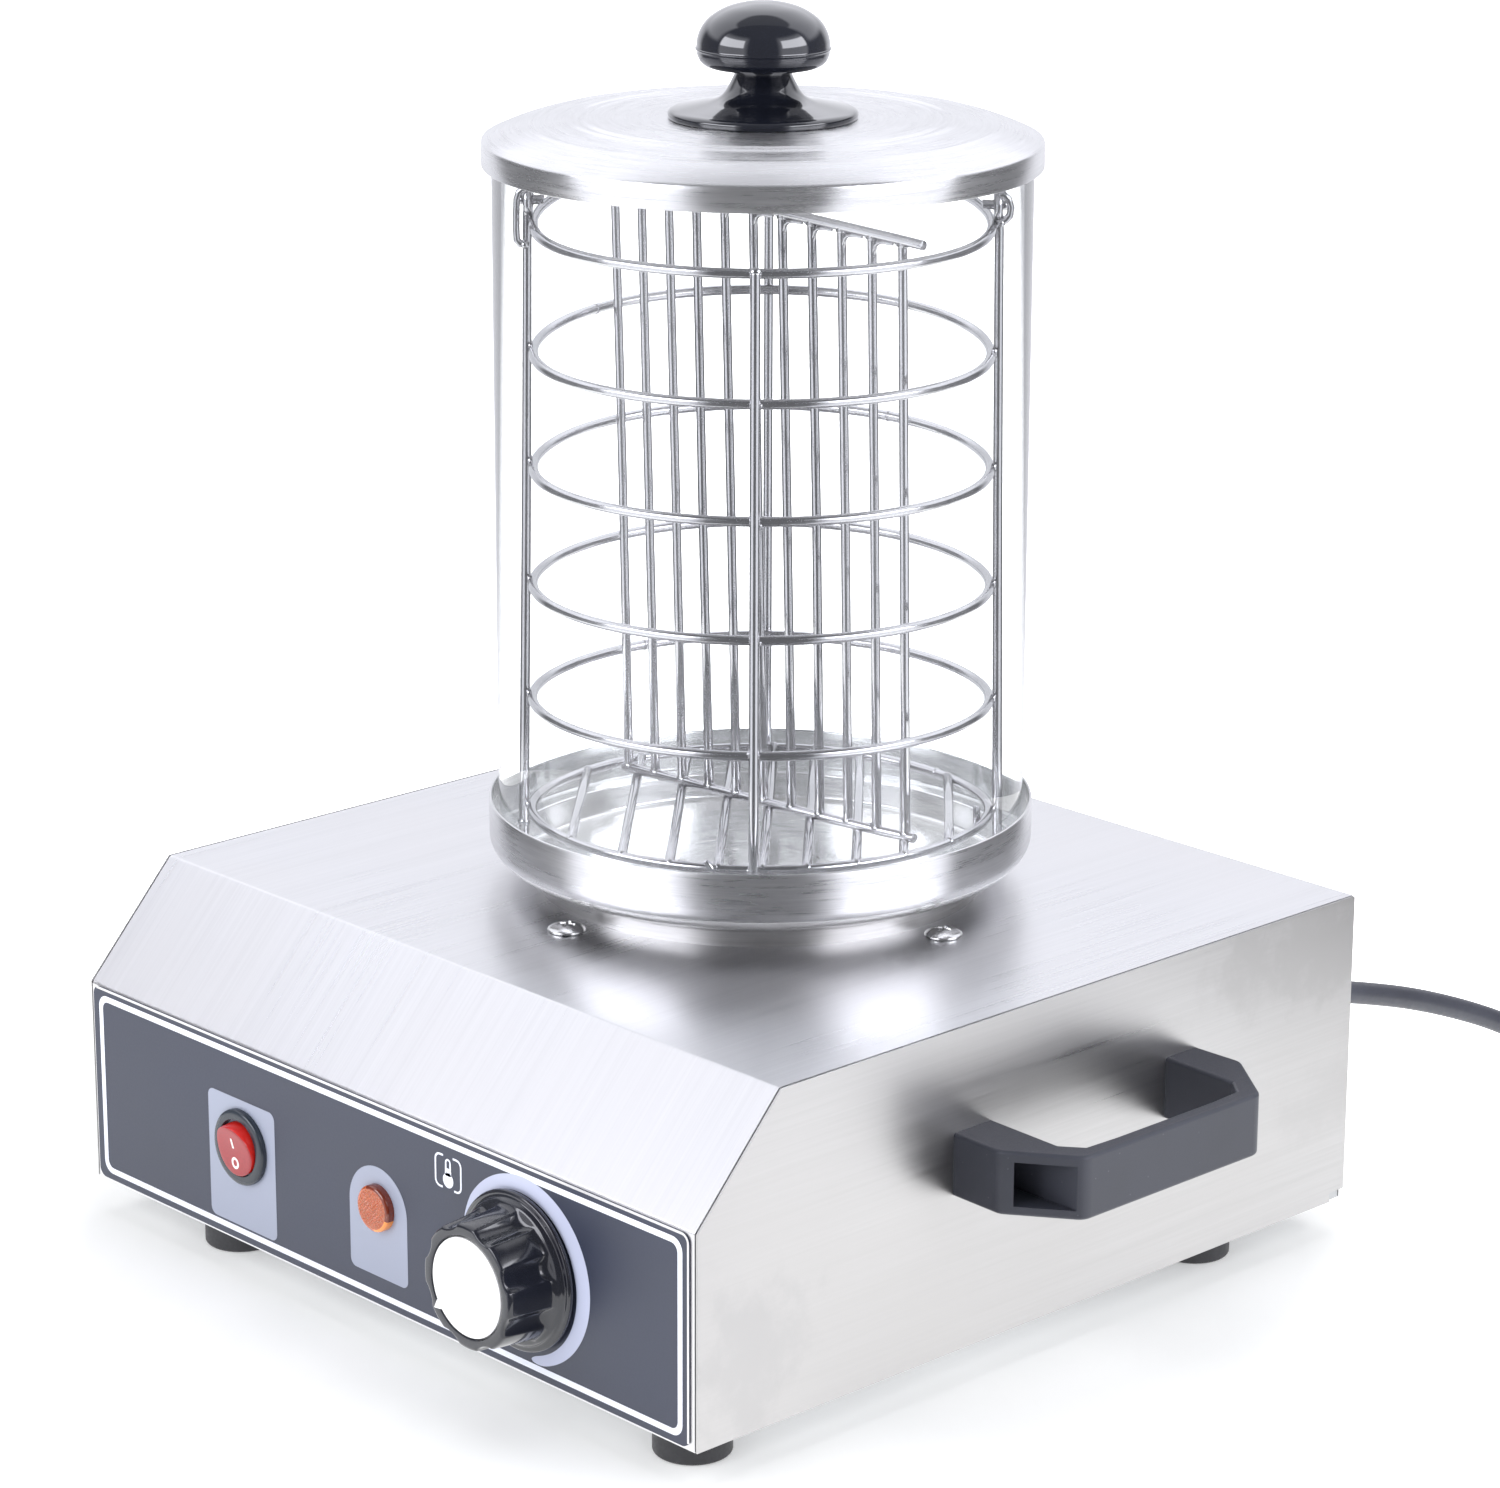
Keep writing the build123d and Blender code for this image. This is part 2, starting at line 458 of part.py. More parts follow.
# ----------------------------------------------------------------------
# Basket: round wire rings, four uprights, a floor of rungs, a divider
# ----------------------------------------------------------------------
def polar(r, deg):
    return r * math.cos(math.radians(deg)), AXIS_Y + r * math.sin(math.radians(deg))


rings = [ring(0, AXIS_Y, z, RING_R, WIRE) for z in RING_Z]
put("basket_rings", rings)

uprights = []
for deg in (45, 135, 225, 315):
    x, y = polar(UPRIGHT_R, deg)
    z1 = EYE_Z - 3.4 if deg in (45, 225) else RING_Z[-1] + 0.9
    up = cyl_z(x, y, LEG_Z, z1, WIRE)
    if deg in (45, 225):
        ex, ey = polar(EYE_R, deg)
        eye = Pos(ex, ey, EYE_Z) * Rot(0, 0, deg) * Rot(0, 90, 0) * Torus(3.4, 1.35)
        up = up + eye
    uprights.append(up)
put("basket_uprights", uprights)

rungs = []
for off in RUNG_OFF:
    half = math.sqrt(RING_R ** 2 - off ** 2) - 0.4
    cx, cy = off / math.sqrt(2), AXIS_Y + off / math.sqrt(2)
    rg = Pos(cx, cy, RING_Z[0] + 0.3) * Rot(0, 0, -45) * Rot(0, 90, 0) * Cylinder(WIRE, 2 * half)
    rungs.append(rg)
put("basket_floor_grid", rungs)

DIV_ROT = 3.5
DIV_ZB, DIV_ZT = RING_Z[0] + 0.3 + 2.0, 305.0
dv = Pos((63.0 - 58.5) / 2, 0, DIV_ZB) * Rot(0, 90, 0) * Cylinder(WIRE, 121.5)
dv = dv + Pos((64.3 - 74.3 + 8) / 2 - 0.8, 0, DIV_ZT) * Rot(0, 90, 0) * Cylinder(WIRE, 132.0)
n_w = 11
for i in range(n_w):
    xb = -56.0 + 11.5 * i + 0.1 * (i - 5)
    xt = -64.0 + 12.0 * i
    a = Vector(xb, 0, DIV_ZB)
    b = Vector(xt, 0, DIV_ZT)
    dv = dv + wire_along(Line(a, b), 1.45)
dv = Pos(0, AXIS_Y, 0) * Rot(0, 0, DIV_ROT) * dv
put("divider", dv)

# ---- bail handle, folded flat towards the back -----------------------------------
ax45 = Vector(math.cos(math.radians(45)), math.sin(math.radians(45)), 0)
c0 = Vector(0, AXIS_Y, EYE_Z)
p_in = c0 + ax45 * 66.5
p_out = c0 + ax45 * BAIL_R
perp = Vector(-ax45.Y, ax45.X, 0)
# path: inward stub, small corner, half ring round the back, small corner, inward stub
nseg = 12
pts = [p_in]
for i in range(nseg + 1):
    a = math.radians(45 + 180.0 * i / nseg)
    rr = BAIL_R / math.cos(math.radians(90.0 / nseg)) if 0 < i < nseg else BAIL_R
    pts.append(c0 + Vector(rr * math.cos(a), rr * math.sin(a), 0))
pts.append(c0 - ax45 * 66.5)
radii = [2.6] + [60.0] * (nseg - 1) + [2.6]
bail = wire_along(FilletPolyline(*[tuple(p) for p in pts], radius=radii), BAIL_WIRE)
put("bail_handle", bail)

# ----------------------------------------------------------------------
# Lid: pressed sheet with a straight skirt and a low crown; turned knob
# ----------------------------------------------------------------------
lid_o = [(LID_R, LID_Z0), (LID_R, 329.6), (83.6, 330.3), (75.0, 333.6), (70.0, 334.8), (64.0, 335.5), (58.6, 335.8), (57.6, 336.15),
         (56.6, 336.25), (55.6, 335.95), (54.2, 335.95), (53.4, 336.3), (52.4, 336.4), (51.2, 336.2), (0, 336.2)]
lid_i = [(0, 336.2 - LID_T), (20.0, 336.2 - LID_T), (57.0, 335.2), (64.0, 334.65), (70.0, 333.95), (75.0, 332.75), (82.5, 329.85), (LID_R - LID_T, 329.2),
         (LID_R - LID_T, LID_Z0)]
lid = turn(lid_o + lid_i)
lid -= cyl_z(0, AXIS_Y, 330, 340, 2.8)
put("lid", lid)
lk = [(0, 0), (27.9, 0), (28.4, 0.5), (28.4, 1.9), (27.6, 2.5), (22.0, 3.7), (16.0, 4.8), (12.7, 5.4), (10.8, 8.4), (9.2, 11.4), (8.3, 13.5),
      (8.6, 14.6), (10.5, 15.0), (16.6, 15.1), (17.8, 15.8), (18.6, 17.0), (19.7, 19.5), (19.9, 21.0), (19.8, 23.4), (19.1, 26.4), (17.8, 28.8),
      (16.2, 30.5), (14.0, 31.8), (9.0, 33.7), (4.0, 34.4), (0, 34.5)]
lk = turn([(r, KNOB_Z + z) for r, z in lk])
lk -= cyl_z(0, AXIS_Y, KNOB_Z - 1, KNOB_Z + 14.0, 2.5)
put("lid_knob", lk)
ls = Pos(0, AXIS_Y, 336.2 - LID_T) * Rot(180, 0, 0) * screw(5.0, 2.4, 2.45, 14.0)
put("lid_knob_screw", ls)

# ----------------------------------------------------------------------
# Mains cord: strain relief, free tube, wound coil, plug
# ----------------------------------------------------------------------
rel_a = Vector(GLAND[0], D / 2, GLAND[1])
rel_d = Vector(0, math.cos(math.radians(12.0)), -math.sin(math.radians(12.0)))
REL_L = 27.0
tip = rel_a + rel_d * REL_L
rel = Plane(origin=rel_a + rel_d * 1.0, z_dir=rel_d) * Cone(6.0, CORD_R + 0.9, REL_L - 1.0, align=(Align.CENTER, Align.CENTER, Align.MIN))
rel = rel + cyl_y(GLAND[0], GLAND[1], D / 2, D / 2 + 3.0, 9.0) + cyl_y(GLAND[0], GLAND[1], D / 2 - t - 1.2, D / 2 + 1, 6.5)
rel = rel + cyl_y(GLAND[0], GLAND[1], D / 2 - t - 3.2, D / 2 - t, 8.2)
put("strain_relief", rel)

FLOOR = -FOOT_H
zf = FLOOR + CORD_R
COIL_C = (163.8, 340.0)
COIL_R0, COIL_R1 = 23.4, 52.7
COIL_TURN_R = 49.0           # centre line of the outermost turn, where the cord enters
ROUTE = [
    (tip.X, tip.Y, tip.Z),
    (110.0, 182.0, 49.0),
    (110.2, 212.0, 39.3),
    (110.4, 249.0, 23.8),
    (111.4, 279.0, 7.0),
    (112.8, 303.0, -4.6),
    (113.9, 321.5, zf),
    (114.8, 335.0, zf),
]
pv = [Vector(*p) for p in ROUTE]
rad = []
for a, b, c in zip(pv, pv[1:], pv[2:]):
    u, v = (b - a), (c - b)
    ang = math.radians(u.get_angle(v))
    rad.append(0.45 * min(u.length, v.length) / math.tan(ang / 2))
print("cord corner radii", [round(r, 1) for r in rad], "runs", [round((b - a).length, 1) for a, b in zip(pv, pv[1:])])
path = FilletPolyline(*ROUTE, radius=rad)
cord = wire_along(path, CORD_R)
print("cord length", round(path.length, 1), "volume ratio", round(cord.volume / (math.pi * CORD_R ** 2 * path.length), 4))
put("mains_cord", cord)

coil_top = FLOOR + 2 * CORD_R + 7.0
c1, c2 = COIL_R0, COIL_R1
coil = turn([(c1 + 3.0, FLOOR), (c2 - 3.0, FLOOR), (c2 - 0.8, FLOOR + 1.0), (c2, FLOOR + 3.2), (c2 - 0.4, FLOOR + 5.2), (c2 - 4.2, coil_top - 1.6),
             (c2 - 6.5, coil_top), (c1 + 6.5, coil_top), (c1 + 4.2, coil_top - 1.6), (c1 + 0.4, FLOOR + 5.2), (c1, FLOOR + 3.2), (c1 + 0.8, FLOOR + 1.0)],
            COIL_C[0], COIL_C[1])
put("cord_coil", coil)

# plug lying on the coil: its cord end comes round on top of the turns,
# its pins point towards the housing
PLUG_OFF = 35.0                                  # axis stands this far from the coil's middle
PLUG_Z = coil_top + 10.6
REL_END_Y = COIL_C[1] + 9.0
TAIL_L = 24.0
pdir = Vector(0, -1, 0)
tail_a = math.radians(17.0)
plug_o = Vector(COIL_C[0] + PLUG_OFF, REL_END_Y - TAIL_L * math.cos(tail_a) + 2.0, PLUG_Z)   # rear of the plug's body
px = Vector(1, 0, 0)


def plug_plane(d):
    return Plane(origin=plug_o + pdir * d, x_dir=px, z_dir=pdir)


body = loft([plug_plane(0.0) * RectangleRounded(16.0, 14.0, 6.0),
             plug_plane(14.0) * RectangleRounded(28.0, 18.0, 8.0),
             plug_plane(24.0) * RectangleRounded(34.0, 21.0, 9.0),
             plug_plane(33.0) * RectangleRounded(34.5, 21.0, 9.0)], ruled=True)
tail_d = pdir * math.cos(tail_a) + Vector(0, 0, 1) * math.sin(tail_a)
tail = Plane(origin=plug_o + pdir * 2.0, z_dir=-tail_d) * Cone(5.6, CORD_R + 0.9, TAIL_L, align=(Align.CENTER, Align.CENTER, Align.MIN))
put("mains_plug", body + tail)
pins = []
for sx, zz, rot in ((-6.9, 3.0, 30), (6.9, 3.0, -30), (0.0, -5.4, 90)):
    base_pl = Plane(origin=plug_o + pdir * 33.0 + px * sx + Vector(0, 0, 1) * zz, x_dir=px, z_dir=pdir)
    if rot == 90:
        pins.append(base_pl * Box(1.6, 6.3, 18.5, align=(Align.CENTER, Align.CENTER, Align.MIN)))
    else:
        pins.append(base_pl * Rot(0, 0, rot) * Box(1.6, 6.3, 17.0, align=(Align.CENTER, Align.CENTER, Align.MIN)))
put("plug_pins", pins)
end = plug_o + pdir * 2.0 - tail_d * TAIL_L
# short end of cord between the coil's upper turns and the plug
TAIL = [(end.X, end.Y, end.Z), (end.X - 0.7, end.Y + 12.0, end.Z - 2.6), (end.X - 4.4, end.Y + 23.2, end.Z - 5.0)]
tv = [Vector(*p) for p in TAIL]
u, v = tv[1] - tv[0], tv[2] - tv[1]
tail_r = 0.45 * min(u.length, v.length) / math.tan(math.radians(u.get_angle(v)) / 2)
print("tail radius", round(tail_r, 1), "coil top", coil_top, "tail", [tuple(round(c, 1) for c in p) for p in TAIL])
put("cord_tail", wire_along(FilletPolyline(*TAIL, radius=tail_r), CORD_R))

# ----------------------------------------------------------------------
for name, shape in OUT.items():
    export_step(shape, f"parts/{name}.step")
print(len(OUT), "nodes; SHIFT_Y", SHIFT_Y)
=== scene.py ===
import bpy
import bmesh
import math
import random
from mathutils import Vector, Matrix


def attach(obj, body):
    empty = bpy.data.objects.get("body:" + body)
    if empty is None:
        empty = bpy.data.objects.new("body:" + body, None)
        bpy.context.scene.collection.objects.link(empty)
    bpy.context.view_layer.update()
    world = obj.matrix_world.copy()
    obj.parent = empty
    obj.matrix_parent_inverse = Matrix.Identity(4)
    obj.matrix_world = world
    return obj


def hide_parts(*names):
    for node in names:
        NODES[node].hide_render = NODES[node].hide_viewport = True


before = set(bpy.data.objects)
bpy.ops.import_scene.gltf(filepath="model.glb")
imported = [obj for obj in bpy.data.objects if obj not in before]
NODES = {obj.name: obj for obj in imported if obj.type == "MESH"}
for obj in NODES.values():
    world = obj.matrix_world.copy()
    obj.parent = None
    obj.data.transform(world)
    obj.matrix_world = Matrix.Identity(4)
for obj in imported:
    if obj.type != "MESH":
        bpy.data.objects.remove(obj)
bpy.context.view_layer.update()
rnd = random.Random(7)

# ----------------------------------------------------------------------
# Drawing frame: millimetres, z = 0 at the housing's underside, x = y = 0
# at the housing's middle.  P() takes a point from there to the row frame.
# ----------------------------------------------------------------------
SHIFT_Y, FOOT_H = 9.5, 12.0
AXIS_Y = 18.0
FACE_Y = -138.0
SWITCH, LAMP, DIAL = (-63.0, 32.0), (2.0, 32.0), (66.7, 32.5)


def P(x, y, z):
    return Vector((x / 1000.0, (y + SHIFT_Y) / 1000.0, (z + FOOT_H) / 1000.0))


# ----------------------------------------------------------------------
# Camera: solved from the photograph
# ----------------------------------------------------------------------
AZ, EL, ROLL = math.radians(46.7207), math.radians(16.8037), math.radians(0.1815)
back = Vector((math.sin(AZ) * math.cos(EL), -math.cos(AZ) * math.cos(EL), math.sin(EL)))
right = Vector((math.cos(AZ), math.sin(AZ), 0.0))
up = back.cross(right)
r2 = right * math.cos(ROLL) + up * math.sin(ROLL)
u2 = -right * math.sin(ROLL) + up * math.cos(ROLL)
cam_data = bpy.data.cameras.new("camera")
cam = bpy.data.objects.new("camera", cam_data)
bpy.context.scene.collection.objects.link(cam)
cam_data.sensor_width = 36.0
cam_data.sensor_fit = "HORIZONTAL"
cam_data.lens = 4750.78 * 36.0 / 1500.0
cam_data.clip_start = 0.05
cam_data.clip_end = 60.0
pos = P(14.3246, 0.0, 148.4576) + back * 1.4442566
m = Matrix((r2, u2, back)).transposed().to_4x4()
m.translation = pos
cam.matrix_world = m
bpy.context.scene.camera = cam


# ----------------------------------------------------------------------
# Mesh building
# ----------------------------------------------------------------------
def link(ob):
    bpy.context.scene.collection.objects.link(ob)
    return ob


class Part:
    """Collects vertices in the drawing frame and faces, then makes one object."""

    def __init__(self):
        self.v, self.f, self.m = [], [], []

    def add(self, vs, fs, mi=0):
        o = len(self.v)
        self.v += [tuple(p) for p in vs]
        self.f += [tuple(i + o for i in f) for f in fs]
        self.m += [mi] * len(fs)

    # rings of points joined into a skin
    def loft(self, rings, close_u=True, cap0=True, cap1=True, mi=0, close_v=False):
        n = len(rings[0])
        vs = [p for ring in rings for p in ring]
        fs = []
        k = len(rings)
        for j in range(k if close_v else k - 1):
            a, b = j * n, ((j + 1) % k) * n
            for i in range(n if close_u else n - 1):
                i2 = (i + 1) % n
                fs.append((a + i, a + i2, b + i2, b + i))
        if cap0:
            fs.append(tuple(range(n))[::-1])
        if cap1:
            fs.append(tuple((k - 1) * n + i for i in range(n)))
        self.add(vs, fs, mi)

    # a wire along a list of points
    def tube(self, pts, r, seg=14, mi=0, closed=False, soft=0.22):
        pts = [Vector(p) for p in pts]
        rad = r if isinstance(r, (list, tuple)) else [r] * len(pts)
        if not closed and soft:
            a, b = pts[0], pts[-1]
            ta = (pts[1] - a).normalized()
            tb = (b - pts[-2]).normalized()
            r0, r1 = rad[0], rad[-1]
            e0, e1 = soft * r0, soft * r1
            pts = [a, a + ta * e0 * 0.3, a + ta * e0] + pts[1:-1] + [b - tb * e1, b - tb * e1 * 0.3, b]
            rad = [r0 * (1 - soft), r0 * (1 - soft * 0.3), r0] + list(rad[1:-1]) + [r1, r1 * (1 - soft * 0.3), r1 * (1 - soft)]
        n = len(pts)
        tans = []
        for i in range(n):
            if closed:
                d = pts[(i + 1) % n] - pts[(i - 1) % n]
            else:
                d = pts[min(i + 1, n - 1)] - pts[max(i - 1, 0)]
            tans.append(d.normalized())
        ref = Vector((0, 0, 1)) if abs(tans[0].z) < 0.9 else Vector((1, 0, 0))
        nrm = (ref - tans[0] * ref.dot(tans[0])).normalized()
        rings = []
        for i in range(n):
            nrm = (nrm - tans[i] * nrm.dot(tans[i])).normalized()
            bi = tans[i].cross(nrm)
            rings.append([pts[i] + (nrm * math.cos(t) + bi * math.sin(t)) * rad[i]
                          for t in [2 * math.pi * q / seg for q in range(seg)]])
        self.loft(rings, cap0=not closed, cap1=not closed, mi=mi, close_v=closed)

    def torus(self, c, R, r, ax=(0, 0, 1), n=128, seg=14, mi=0, a0=0.0, a1=360.0):
        ez = Vector(ax).normalized()
        ref = Vector((1, 0, 0)) if abs(ez.x) < 0.9 else Vector((0, 0, 1))
        ex = (ref - ez * ref.dot(ez)).normalized()
        ey = ez.cross(ex)
        c = Vector(c)
        full = abs(a1 - a0) >= 359.9
        cnt = n if full else n + 1
        rings = []
        for i in range(cnt):
            t = math.radians(a0 + (a1 - a0) * i / n)
            d = ex * math.cos(t) + ey * math.sin(t)
            rings.append([c + d * (R + r * math.cos(s)) + ez * (r * math.sin(s))
                          for s in [2 * math.pi * q / seg for q in range(seg)]])
        self.loft(rings, cap0=not full, cap1=not full, mi=mi, close_v=full)

    def blob(self, c, rx, ry=None, rz=None, ez=(0, 0, 1), ex=None, nu=12, nv=8, mi=0):
        ry = ry or rx
        rz = rz or rx
        ez = Vector(ez).normalized()
        if ex is None:
            ref = Vector((1, 0, 0)) if abs(ez.x) < 0.9 else Vector((0, 1, 0))
        else:
            ref = Vector(ex)
        ex = (ref - ez * ref.dot(ez)).normalized()
        ey = ez.cross(ex)
        c = Vector(c)
        vs = [c + ez * rz]
        for j in range(1, nv):
            t = math.pi * j / nv
            for i in range(nu):
                s = 2 * math.pi * i / nu
                vs.append(c + ex * (rx * math.sin(t) * math.cos(s)) + ey * (ry * math.sin(t) * math.sin(s)) + ez * (rz * math.cos(t)))
        vs.append(c - ez * rz)
        fs = [(0, 1 + i, 1 + (i + 1) % nu) for i in range(nu)]
        for j in range(nv - 2):
            a, b = 1 + j * nu, 1 + (j + 1) * nu
            fs += [(a + i, b + i, b + (i + 1) % nu, a + (i + 1) % nu) for i in range(nu)]
        last = len(vs) - 1
        a = 1 + (nv - 2) * nu
        fs += [(last, a + (i + 1) % nu, a + i) for i in range(nu)]
        self.add(vs, fs, mi)

    # closed (R, h) profile turned about an axis
    def lathe(self, prof, c=(0, AXIS_Y, 0), ez=(0, 0, 1), ex=(1, 0, 0), n=192, mi=0):
        ez = Vector(ez).normalized()
        ex = Vector(ex).normalized()
        ey = ez.cross(ex)
        c = Vector(c)
        dirs = [ex * math.cos(2 * math.pi * i / n) + ey * math.sin(2 * math.pi * i / n) for i in range(n)]
        vs, idx = [], []
        for R, h in prof:
            if R < 1e-6:
                idx.append([len(vs)] * n)
                vs.append(c + ez * h)
            else:
                idx.append(list(range(len(vs), len(vs) + n)))
                vs += [c + ez * h + d * R for d in dirs]
        fs = []
        k = len(prof)
        for j in range(k):
            a, b = idx[j], idx[(j + 1) % k]
            if a[0] == a[1] and b[0] == b[1]:
                continue
            for i in range(n):
                i2 = (i + 1) % n
                q = [a[i], a[i2], b[i2], b[i]]
                q = [x for t, x in enumerate(q) if x not in q[:t]]
                if len(q) > 2:
                    fs.append(tuple(q))
        self.add(vs, fs, mi)

    # flat outline in (x, z) made into a thin plate between two depths in front of the face
    def plate(self, outline, p0, p1, mi=0, y=FACE_Y):
        a = [(x, y - p0, z) for x, z in outline]
        b = [(x, y - p1, z) for x, z in outline]
        self.loft([a, b], mi=mi)

    def band(self, outer, inner, p0, p1, mi=0, y=FACE_Y, closed=True):
        n = len(outer)
        r = []
        for pts, p in ((outer, p0), (outer, p1), (inner, p1), (inner, p0)):
            r.append([(x, y - p, z) for x, z in pts])
        if closed:
            self.loft(r, cap0=False, cap1=False, mi=mi, close_v=True)
        else:
            cols = [[r[k][i] for k in range(4)] for i in range(n)]
            self.loft(cols, mi=mi)

    def build(self, name, mats, body="base", rep=(), sharp=38.0, weld=True, bevel=None):
        me = bpy.data.meshes.new(name)
        me.from_pydata([P(*p) for p in self.v], [], self.f)
        mats = mats if isinstance(mats, (list, tuple)) else [mats]
        for mt in mats:
            me.materials.append(mt)
        me.polygons.foreach_set("material_index", self.m)
        bm = bmesh.new()
        bm.from_mesh(me)
        if weld:
            bmesh.ops.remove_doubles(bm, verts=bm.verts, dist=1e-7)
        bmesh.ops.recalc_face_normals(bm, faces=bm.faces)
        for f in bm.faces:
            f.smooth = True
        lim = math.radians(sharp)
        for e in bm.edges:
            e.smooth = not (len(e.link_faces) == 2 and e.calc_face_angle(0.0) > lim)
        bm.to_mesh(me)
        bm.free()
        ob = link(bpy.data.objects.new(name, me))
        if bevel:
            md = ob.modifiers.new("edge", "BEVEL")
            md.width = bevel / 1000.0
            md.segments = 3
            md.limit_method = "ANGLE"
            md.angle_limit = math.radians(30)
            md.harden_normals = True
        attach(ob, body)
        if rep:
            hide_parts(*rep)
        return ob


def arc(cx, cy, r, a0, a1, n, ry=None):
    ry = r if ry is None else ry
    return [(cx + r * math.cos(math.radians(a0 + (a1 - a0) * i / n)),
             cy + ry * math.sin(math.radians(a0 + (a1 - a0) * i / n))) for i in range(n + 1)]


def rrect(x0, x1, z0, z1, r, n=8):
    return (arc(x1 - r, z1 - r, r, 0, 90, n) + arc(x0 + r, z1 - r, r, 90, 180, n) +
            arc(x0 + r, z0 + r, r, 180, 270, n) + arc(x1 - r, z0 + r, r, 270, 360, n))


def rounded(pts, rad, n=5):
    """Closed polyline with its corners rounded; rad is a number or a list."""
    out = []
    k = len(pts)
    for i in range(k):
        r = rad[i] if isinstance(rad, (list, tuple)) else rad
        p = Vector((pts[i][0], pts[i][1]))
        a = Vector((pts[i - 1][0], pts[i - 1][1])) - p
        b = Vector((pts[(i + 1) % k][0], pts[(i + 1) % k][1])) - p
        if r <= 0 or p.x < 1e-6 or a.length < 1e-6 or b.length < 1e-6:
            out.append((p.x, p.y))
            continue
        ua, ub = a.normalized(), b.normalized()
        c = max(-1.0, min(1.0, ua.dot(ub)))
        half = math.acos(c) / 2
        if half > math.radians(88):
            out.append((p.x, p.y))
            continue
        d = min(r / math.tan(half), 0.48 * a.length, 0.48 * b.length)
        q0, q1 = p + ua * d, p + ub * d
        for j in range(n + 1):
            t = j / n
            q = q0 * (1 - t) ** 2 + p * 2 * t * (1 - t) + q1 * t ** 2
            out.append((q.x, q.y))
    return out


def catmull(pts, sub=5):
    """Open smooth polyline through the points."""
    q = [Vector((p[0], p[1])) for p in pts]
    ext = [q[0] * 2 - q[1]] + q + [q[-1] * 2 - q[-2]]
    out = []
    for i in range(1, len(ext) - 2):
        p0, p1, p2, p3 = ext[i - 1:i + 3]
        t01 = max((p1 - p0).length, 1e-6) ** 0.5
        t12 = max((p2 - p1).length, 1e-6) ** 0.5
        t23 = max((p3 - p2).length, 1e-6) ** 0.5
        m1 = (p2 - p1) + t12 * ((p1 - p0) / t01 - (p2 - p0) / (t01 + t12))
        m2 = (p2 - p1) + t12 * ((p3 - p2) / t23 - (p3 - p1) / (t12 + t23))
        for j in range(sub):
            t = j / sub
            r = (2 * t ** 3 - 3 * t ** 2 + 1) * p1 + (t ** 3 - 2 * t ** 2 + t) * m1 + (-2 * t ** 3 + 3 * t ** 2) * p2 + (t ** 3 - t ** 2) * m2
            out.append((max(r.x, 0.0), r.y))
    out.append((q[-1].x, q[-1].y))
    return out


def polar(r, deg, z=0.0):
    return Vector((r * math.cos(math.radians(deg)), AXIS_Y + r * math.sin(math.radians(deg)), z))


